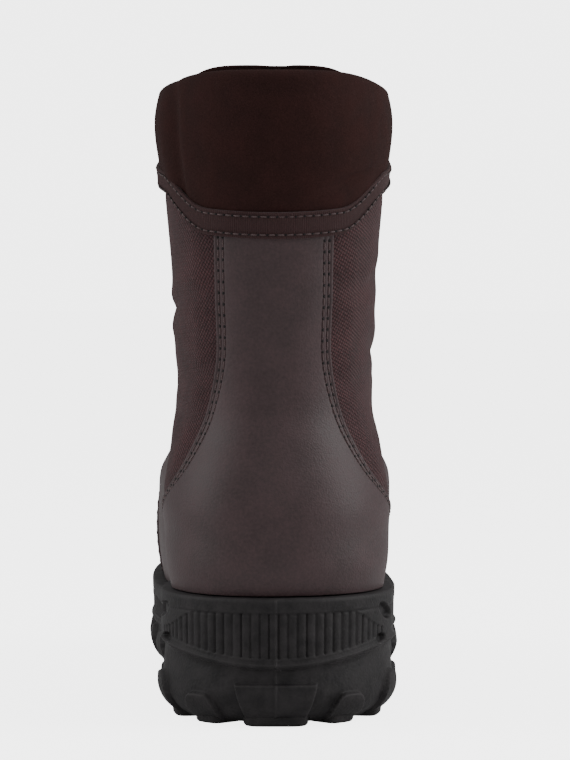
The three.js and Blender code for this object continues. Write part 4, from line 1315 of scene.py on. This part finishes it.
def wall_relief(x, y, z, way):
    """Everything moulded into the wall, as a height in millimetres."""
    ribs = np.abs(np.sin(np.pi * (way / WALL_RIB_PITCH + 0.5))) ** 0.22
    relief = -lens(x, y, z) * (2.1 - 1.9 * ribs)
    bead = bead_height(x, y)
    relief = relief + 0.8 * bump(z, bead + 0.9, 0.8)
    relief = relief + 0.45 * bump(x, WEDGE_AT, 0.45) * (y < 30)
    relief = relief - 0.35 * bump(z, seat_height(y) - 6.2, 0.5)
    relief = relief + (2.3 * claw(x, y, z, way) - 1.4) * smooth(1, -3, z - bead)
    for side in (-1, 1):
        across, up = x - side * SLOT_AT, z - SLOT_HEIGHT
        wide = (across * 0.9 + side * SLOT_SLANT * up) / SLOT_HALF_WIDTH
        tall = (up - side * SLOT_SLANT * across) / SLOT_HALF_HEIGHT
        relief = relief - 2.2 * smooth(1.25, 0.75, wide**2 + tall**2) * (y < 60)
        hole = ((x - side * HOLE_AT) ** 2 + (z - HOLE_HEIGHT) ** 2) / HOLE_RADIUS**2
        relief = relief - 2.4 * smooth(1.3, 0.7, hole) * (y < 60)
    return relief


def wall_grid(columns, power=1.45):
    """Ways round from the back, v = 0 to 1 and back along the medial side, closer at the heel."""
    half = np.linspace(0, 1, columns + 1) ** power
    return np.concatenate([half, -half[-2:0:-1]])


def wall(v, rows, bottom, top, outward):
    """A closed slab: levels between two heights, moved outward by a profile over the share of
    the height; caps join each column to its mirror image."""
    v, share = np.meshgrid(v, rows, indexing="xy")
    seat = outline(v, SOLE_LEDGE)
    y = seat[..., 1]
    z = mix(bottom(seat[..., 0], y), top(seat[..., 0], y), share)
    relief = wall_relief(seat[..., 0], y, z, np.abs(v) * HALF_WAY)
    reach = outward(z, y, share) + relief * smooth(0, 0.02, share) * smooth(1, 0.98, share)
    points = np.concatenate([outline(v, reach), z[..., None]], -1)
    count = v.shape[1]
    levels = len(rows)
    i, j = np.meshgrid(np.arange(levels - 1), np.arange(count), indexing="ij")
    a, b = (i * count + j).ravel(), (i * count + (j + 1) % count).ravel()
    k = np.arange(1, count // 2 - 1)
    faces = [np.stack([a, b, b + count, a + count], 1)]
    for base, flip in ((0, True), ((levels - 1) * count, False)):
        quads = base + np.stack([k, k + 1, count - k - 1, count - k], 1)
        half = count // 2
        tips = base + np.array([[0, 1, count - 1], [half - 1, half, half + 1]])
        faces += [quads[:, ::-1], tips[:, ::-1]] if flip else [quads, tips]
    points = points.reshape(-1, 3)
    return points, outward_first(points, faces)


# %% [markdown]
# ## Midsole and tread slab
# Both are the same wall between two heights. The heights are functions of the place in plan,
# and all of them take x and y, so that the wall can call any of them.

# %% Midsole
TREAD_UNDER_HEEL, TREAD_UNDER = 1.6, 4.5  # the slab's height over the ground
TURN_UNDER = 14.5  # height where the wall starts to turn under


def split_line(x, y):
    """The joint between midsole and outsole, which follows the bead's lower edge."""
    return bead_height(x, y) - 0.5


def above_split(x, y):
    """The midsole's lower edge, a gap above the joint."""
    return split_line(x, y) + 0.2


def under_foot(x, y):
    """The midsole's upper edge, a gap below the foot's seat."""
    return seat_height(y) - 0.3


def tread_base(x, y):
    """The slab's underside: the rounded heel nearly reaches the ground, and the rest shows
    deeper lugs."""
    return spring_height(y) + mix(TREAD_UNDER_HEEL, TREAD_UNDER, smooth(30, 60, y))


def midsole_reach(z, y, share):
    """A nearly upright wall with a rounded top edge."""
    return 4.5 - 0.4 * (1 - share) - 0.7 * rounded((1 - share) * 24, 1.6)


def outsole_reach(z, y, share):
    """An upright wall that turns under in a quarter of an ellipse."""
    below = np.clip((TURN_UNDER - (z - spring_height(y))) / (TURN_UNDER - 1.2), 0, 0.995)
    return 4.9 - 1.0 * smooth(0.5, 1, share) - 13 * (1 - np.sqrt(1 - below**2))


midsole = wall(wall_grid(620), spread(64, 24, 1.2, 4), above_split, under_foot, midsole_reach)
place(make_object("sole_wall", *midsole), "midsole", RUBBER_FINISH)

# %% [markdown]
# The tread is one slab with rounded lugs sunk into it. A lug's outline is a superellipse, its
# sides lean inward going down, and its lower edge is rounded, as the mould needs it to be. A
# bevelled cube would be quicker, but its sides would be flat and its corners all alike.

# %% Lugs
LUG_ROUND = 1.6  # radius of a lug's lower edge
LUG_HEIGHT = 8  # up into the slab
LUG_INSIDE = -9.0  # middle of a rim lug, from the foot's outline
BARS_AT = (0.2, 0.6, 0.68, 0.76, 0.84)  # shares of the sole's length


def lug(x, y, angle, width, length, taper, bottom, top):
    """A stack of superellipses: share h of the height sets the lean, and the lowest
    millimetres follow a quarter circle."""
    height = top - bottom
    rise = np.concatenate([np.linspace(0, LUG_ROUND, 7), np.linspace(LUG_ROUND, height, 5)[1:]])
    turn = np.linspace(0, 2 * np.pi, 44, endpoint=False)
    shape_x = squared(np.cos(turn), 0.42)
    shape_y = squared(np.sin(turn), 0.42)
    lean = mix(taper, 1, rise / height)[:, None]
    inset = rounded(rise, LUG_ROUND)[:, None]
    across = shape_x * (width / 2 * lean - inset)
    ahead = shape_y * (length / 2 * lean - inset)
    c, s = math.cos(angle), math.sin(angle)
    level = np.repeat((bottom + rise)[:, None], len(turn), 1)
    return hose(np.stack([x + c * across - s * ahead, y + s * across + c * ahead, level], -1))


def tread_lugs():
    """Feet under the rim's claws and the back's wedge, and bars across the middle."""
    forms = [lug(WEDGE_AT, 14.0, 0.0, 27, 21, 0.93, 0.0, LUG_HEIGHT)]
    for side in (-1, 1):
        for way in rim_lugs_at():
            x, y = outline(np.array(side * way / HALF_WAY), LUG_INSIDE)
            if ARCH_BACK < y < ARCH_BACK + 40:
                continue
            ahead = outline(np.array(side * (way / HALF_WAY + 0.01)), LUG_INSIDE)
            angle = math.atan2(ahead[1] - y, ahead[0] - x)
            low = float(spring_height(y))
            forms.append(lug(float(x), float(y), angle, 14.5, 19, 0.9, low + 0.3, low + LUG_HEIGHT))
    for share in BARS_AT:
        y = share * SOLE_LENGTH
        low = float(spring_height(y))
        centre = float(surface(0.0, 1.0)[0]) * share**3 + 2
        forms.append(lug(centre, y, 0.0, 34, 12, 0.86, low, low + LUG_HEIGHT))
    return forms


slab = wall(wall_grid(560), spread(64, 20, 1.2, 4), tread_base, split_line, outsole_reach)
tread = make_object("tread", *joined([slab] + tread_lugs()))
place(tread, "outsole", RUBBER_FINISH)

# %% [markdown]
# ## Eyelets and hooks
# The eyelets are rolled rings, and the hooks are strips bent round so that the mouth faces
# away from the gap. Both are swept: a profile round an axis, or a rounded strip on a path. The
# Spin tool could make one, but here each must also lean with the leather that carries it.

# %% Eyelets and hooks
EYELET_BORE, EYELET_FLANGE = 2.5, 4.6
EYELET_PAIRS, HOOK_PAIRS = 4, 3
HOOK_WIDTH, HOOK_THICKNESS = 7, 1.0
HOOK_BEND = 2.5  # radius of the bend
HOOK_BEND_AT, HOOK_FOOT = 6, 0.55  # where the bend starts, and the foot plate's height
PROFILE_POINTS, SPIN_STEPS = 24, 35
PAIRS = EYELET_PAIRS + HOOK_PAIRS


def station(k, side, offset):
    """The k-th place from below: a point, and the directions across, up and outward."""
    u = np.array(mix(THROAT - 0.6, FACING_TOP - 0.45, k / (PAIRS - 1)))
    v = np.array(side * float(from_front(FACING_GAP / 2 + 9, u)))
    outward = normal(u, v)
    up = surface(u + 0.05, v) - surface(u - 0.05, v)
    up = unit(up - outward * np.dot(up, outward))
    return layer(u, v, offset), np.cross(up, outward), up, outward


def eyelet(k, side):
    """A closed profile of radius and height, turned round the outward direction."""
    turn = np.linspace(0, 2 * np.pi, PROFILE_POINTS, endpoint=False)
    wall_radius = EYELET_BORE + 0.6
    bead = (EYELET_FLANGE - EYELET_BORE) / 2
    around_bead = EYELET_BORE + bead + bead * np.cos(turn)
    height = 0.1 + np.where(np.sin(turn) > 0, 1.25, 0.25) * np.sin(turn)
    sleeve = np.where(np.sin(turn) < -0.3, np.minimum(around_bead, wall_radius), around_bead)
    height = np.where(np.sin(turn) < -0.3, -1.2, height)
    centre, across, up, outward = station(k, side, 0.35)
    spin = np.linspace(0, 2 * np.pi, SPIN_STEPS + 1)
    direction = np.cos(spin)[:, None] * across + np.sin(spin)[:, None] * up
    rings = centre + direction[:, None] * sleeve[None, :, None] + outward * height[None, :, None]
    i, j = np.meshgrid(np.arange(SPIN_STEPS), np.arange(PROFILE_POINTS), indexing="ij")
    next_i, next_j = (i + 1) % SPIN_STEPS, (j + 1) % PROFILE_POINTS
    corners = [(i, j), (i, next_j), (next_i, next_j), (next_i, j)]
    faces = [np.stack([(m * PROFILE_POINTS + n).ravel() for m, n in corners], 1)]
    points = rings[:SPIN_STEPS].reshape(-1, 3)
    return points, outward_first(points, faces)


def hook(k, side):
    """A rounded strip along a path: foot plate, half circle, and upper lip."""
    bend = np.linspace(-np.pi / 2, np.pi / 2, 12)[1:-1]
    foot_x, lip_x = np.linspace(-5, HOOK_BEND_AT, 8), np.linspace(HOOK_BEND_AT, -0.5, 6)
    path_x = np.concatenate([foot_x, HOOK_BEND_AT + HOOK_BEND * np.cos(bend), lip_x])
    bend_z = HOOK_FOOT + HOOK_BEND + HOOK_BEND * np.sin(bend)
    lip_z = HOOK_FOOT + 2 * HOOK_BEND + 0.5 * np.linspace(0, 1, 6) ** 2
    path_z = np.concatenate([np.full(8, HOOK_FOOT), bend_z, lip_z])
    path = np.stack([path_x, path_z], -1)
    ahead = unit(np.gradient(path, axis=0))
    aside = np.stack([-ahead[:, 1], ahead[:, 0]], -1)
    turn = np.linspace(0, 2 * np.pi, 20, endpoint=False)
    wide = squared(np.cos(turn), 0.3) * HOOK_WIDTH / 2
    thick = squared(np.sin(turn), 0.6) * HOOK_THICKNESS / 2
    step = np.arange(len(path))
    ends = np.clip(np.minimum(step, len(path) - 1 - step) / 3, 0, 1)
    wide = wide * mix(0.72, 1, ends)[:, None]
    plan = path[:, None, :] + aside[:, None, :] * thick[None, :, None]
    centre, across, up, outward = station(k, side, 0.75)
    across, up = side * across, side * up
    return hose(centre + plan[..., :1] * across + wide[..., None] * up + plan[..., 1:] * outward)


for side, name in SIDES:
    rings = make_object(f"eyelets_{name}", *joined([eyelet(k, side) for k in range(EYELET_PAIRS)]))
    place(rings, [f"eyelet_{name}_{k + 1}" for k in range(EYELET_PAIRS)], DARK_METAL_FINISH)
    hooks = make_object(f"hooks_{name}", *joined([hook(EYELET_PAIRS + k, side) for k in range(HOOK_PAIRS)]))
    place(hooks, [f"hook_{name}_{k + 1}" for k in range(HOOK_PAIRS)], DARK_METAL_FINISH)

# %% [markdown]
# ## The stiff parts inside
# The board, the shank and the two stiffeners lie between other layers, where nobody looks. They
# keep their CAD shapes and only get their finishes.

# %% Finishes of the CAD parts that stay
for node, finish in (
    ("shank", STEEL_FINISH),
    ("insole_board", BOARD_FINISH),
    ("heel_stiffener", BOARD_FINISH),
    ("toe_puff", BOARD_FINISH),
):
    kept = bpy.data.objects[node]
    kept.data.materials.clear()
    kept.data.materials.append(finish)
    print(node, "gets", finish.name)

# %% [markdown]
# ## Light and camera
# The boot stands on a pale floor and is seen from straight behind, from a little above. Two
# large soft lights at the sides make the edges lighter than the middle, the right one
# slightly stronger, and a weak one fills in from the camera's side. The background and the
# floor are lit on their own, as on a light table: the camera sees them nearly white, and the
# boot gets only the room's soft light.

# %% Stage
FLOOR_HALF, FLOOR_DROP = 6.0, 0.0003
BACKDROP = 4.3  # what the camera sees of the world
ROOM_LIGHT = 0.36  # what lights the boot from all sides
FLOOR_SHORT = 0.42  # the floor glows this much less, because the lamps' light adds to it
floor_mesh = bpy.data.meshes.new("floor")
corners = [FLOOR_HALF * np.array(corner) for corner in ((-1, -1), (1, -1), (1, 1), (-1, 1))]
floor_mesh.from_pydata([(x, y, -FLOOR_DROP) for x, y in corners], [], [(0, 1, 2, 3)])
floor = bpy.data.objects.new("floor", floor_mesh)
bpy.context.scene.collection.objects.link(floor)
paper = Finish("studio paper", (0.83, 0.83, 0.83), 0.9)
fibres = paper.noise(40, 3)
paper.connect("Roughness", paper.ramp(fibres, 0.3, 0.7, 0.85, 0.95))
paper.shader.inputs["Emission Color"].default_value = (1, 1, 1, 1)
glow = paper.node("LightPath").outputs["Is Camera Ray"]
paper.connect("Emission Strength", paper.math("MULTIPLY", glow, BACKDROP - FLOOR_SHORT))
floor_mesh.materials.append(paper.material)

world = bpy.data.worlds.new("studio")
world.use_nodes = True
background = next(n for n in world.node_tree.nodes if n.type == "BACKGROUND")
background.inputs["Color"].default_value = (1, 1, 1, 1)
seen = world.node_tree.nodes.new("ShaderNodeLightPath").outputs["Is Camera Ray"]
level = world.node_tree.nodes.new("ShaderNodeMapRange")
level.inputs["To Min"].default_value = ROOM_LIGHT
level.inputs["To Max"].default_value = BACKDROP
world.node_tree.links.new(seen, level.inputs["Value"])
world.node_tree.links.new(level.outputs[0], background.inputs["Strength"])
bpy.context.scene.world = world


LIGHT_AIM = np.array([0, -0.1, 0.12])


def soft_light(name, place_at, size, watts):
    """A rectangle of light that faces the boot: its turns follow from the direction to aim at."""
    lamp = bpy.data.lights.new(name, "AREA")
    lamp.shape = "RECTANGLE"
    lamp.size, lamp.size_y = size
    lamp.energy = watts
    made = bpy.data.objects.new(name, lamp)
    bpy.context.scene.collection.objects.link(made)
    made.location = place_at
    direction = LIGHT_AIM - np.array(place_at)
    made.rotation_euler = (
        math.atan2(math.hypot(direction[0], direction[1]), -direction[2]),
        0,
        math.atan2(direction[1], direction[0]) - math.pi / 2,
    )
    return made


soft_light("left_light", (-1.1, -0.15, 0.75), (0.9, 1.4), 8)
soft_light("right_light", (1.1, -0.15, 0.75), (0.9, 1.4), 12)
soft_light("front_light", (0.3, -1.9, 1.3), (1.4, 1.0), 4)

# %% [markdown]
# The camera stands straight behind the boot, a little above its middle. The focal length is
# worked out from the height that should fill the picture at that distance.

# %% Camera
SENSOR_SIZE = 36  # millimetres along the longer side of the picture
CAMERA_DISTANCE = 1.55
CAMERA_RISE = math.radians(2.5)
VIEW_HEIGHT = 0.2942
AIM = (0.0055, -SOLE_LENGTH / 2000, 0.1357)
lens_data = bpy.data.cameras.new("camera")
lens_data.lens = SENSOR_SIZE * CAMERA_DISTANCE / VIEW_HEIGHT
lens_data.clip_start, lens_data.clip_end = 0.1, 50
camera = bpy.data.objects.new("camera", lens_data)
bpy.context.scene.collection.objects.link(camera)
camera.location = (
    AIM[0],
    AIM[1] - CAMERA_DISTANCE * math.cos(CAMERA_RISE),
    AIM[2] + CAMERA_DISTANCE * math.sin(CAMERA_RISE),
)
camera.rotation_euler = (math.pi / 2 - CAMERA_RISE, 0, 0)
bpy.context.scene.camera = camera
print("camera at", [round(x, 3) for x in camera.location])
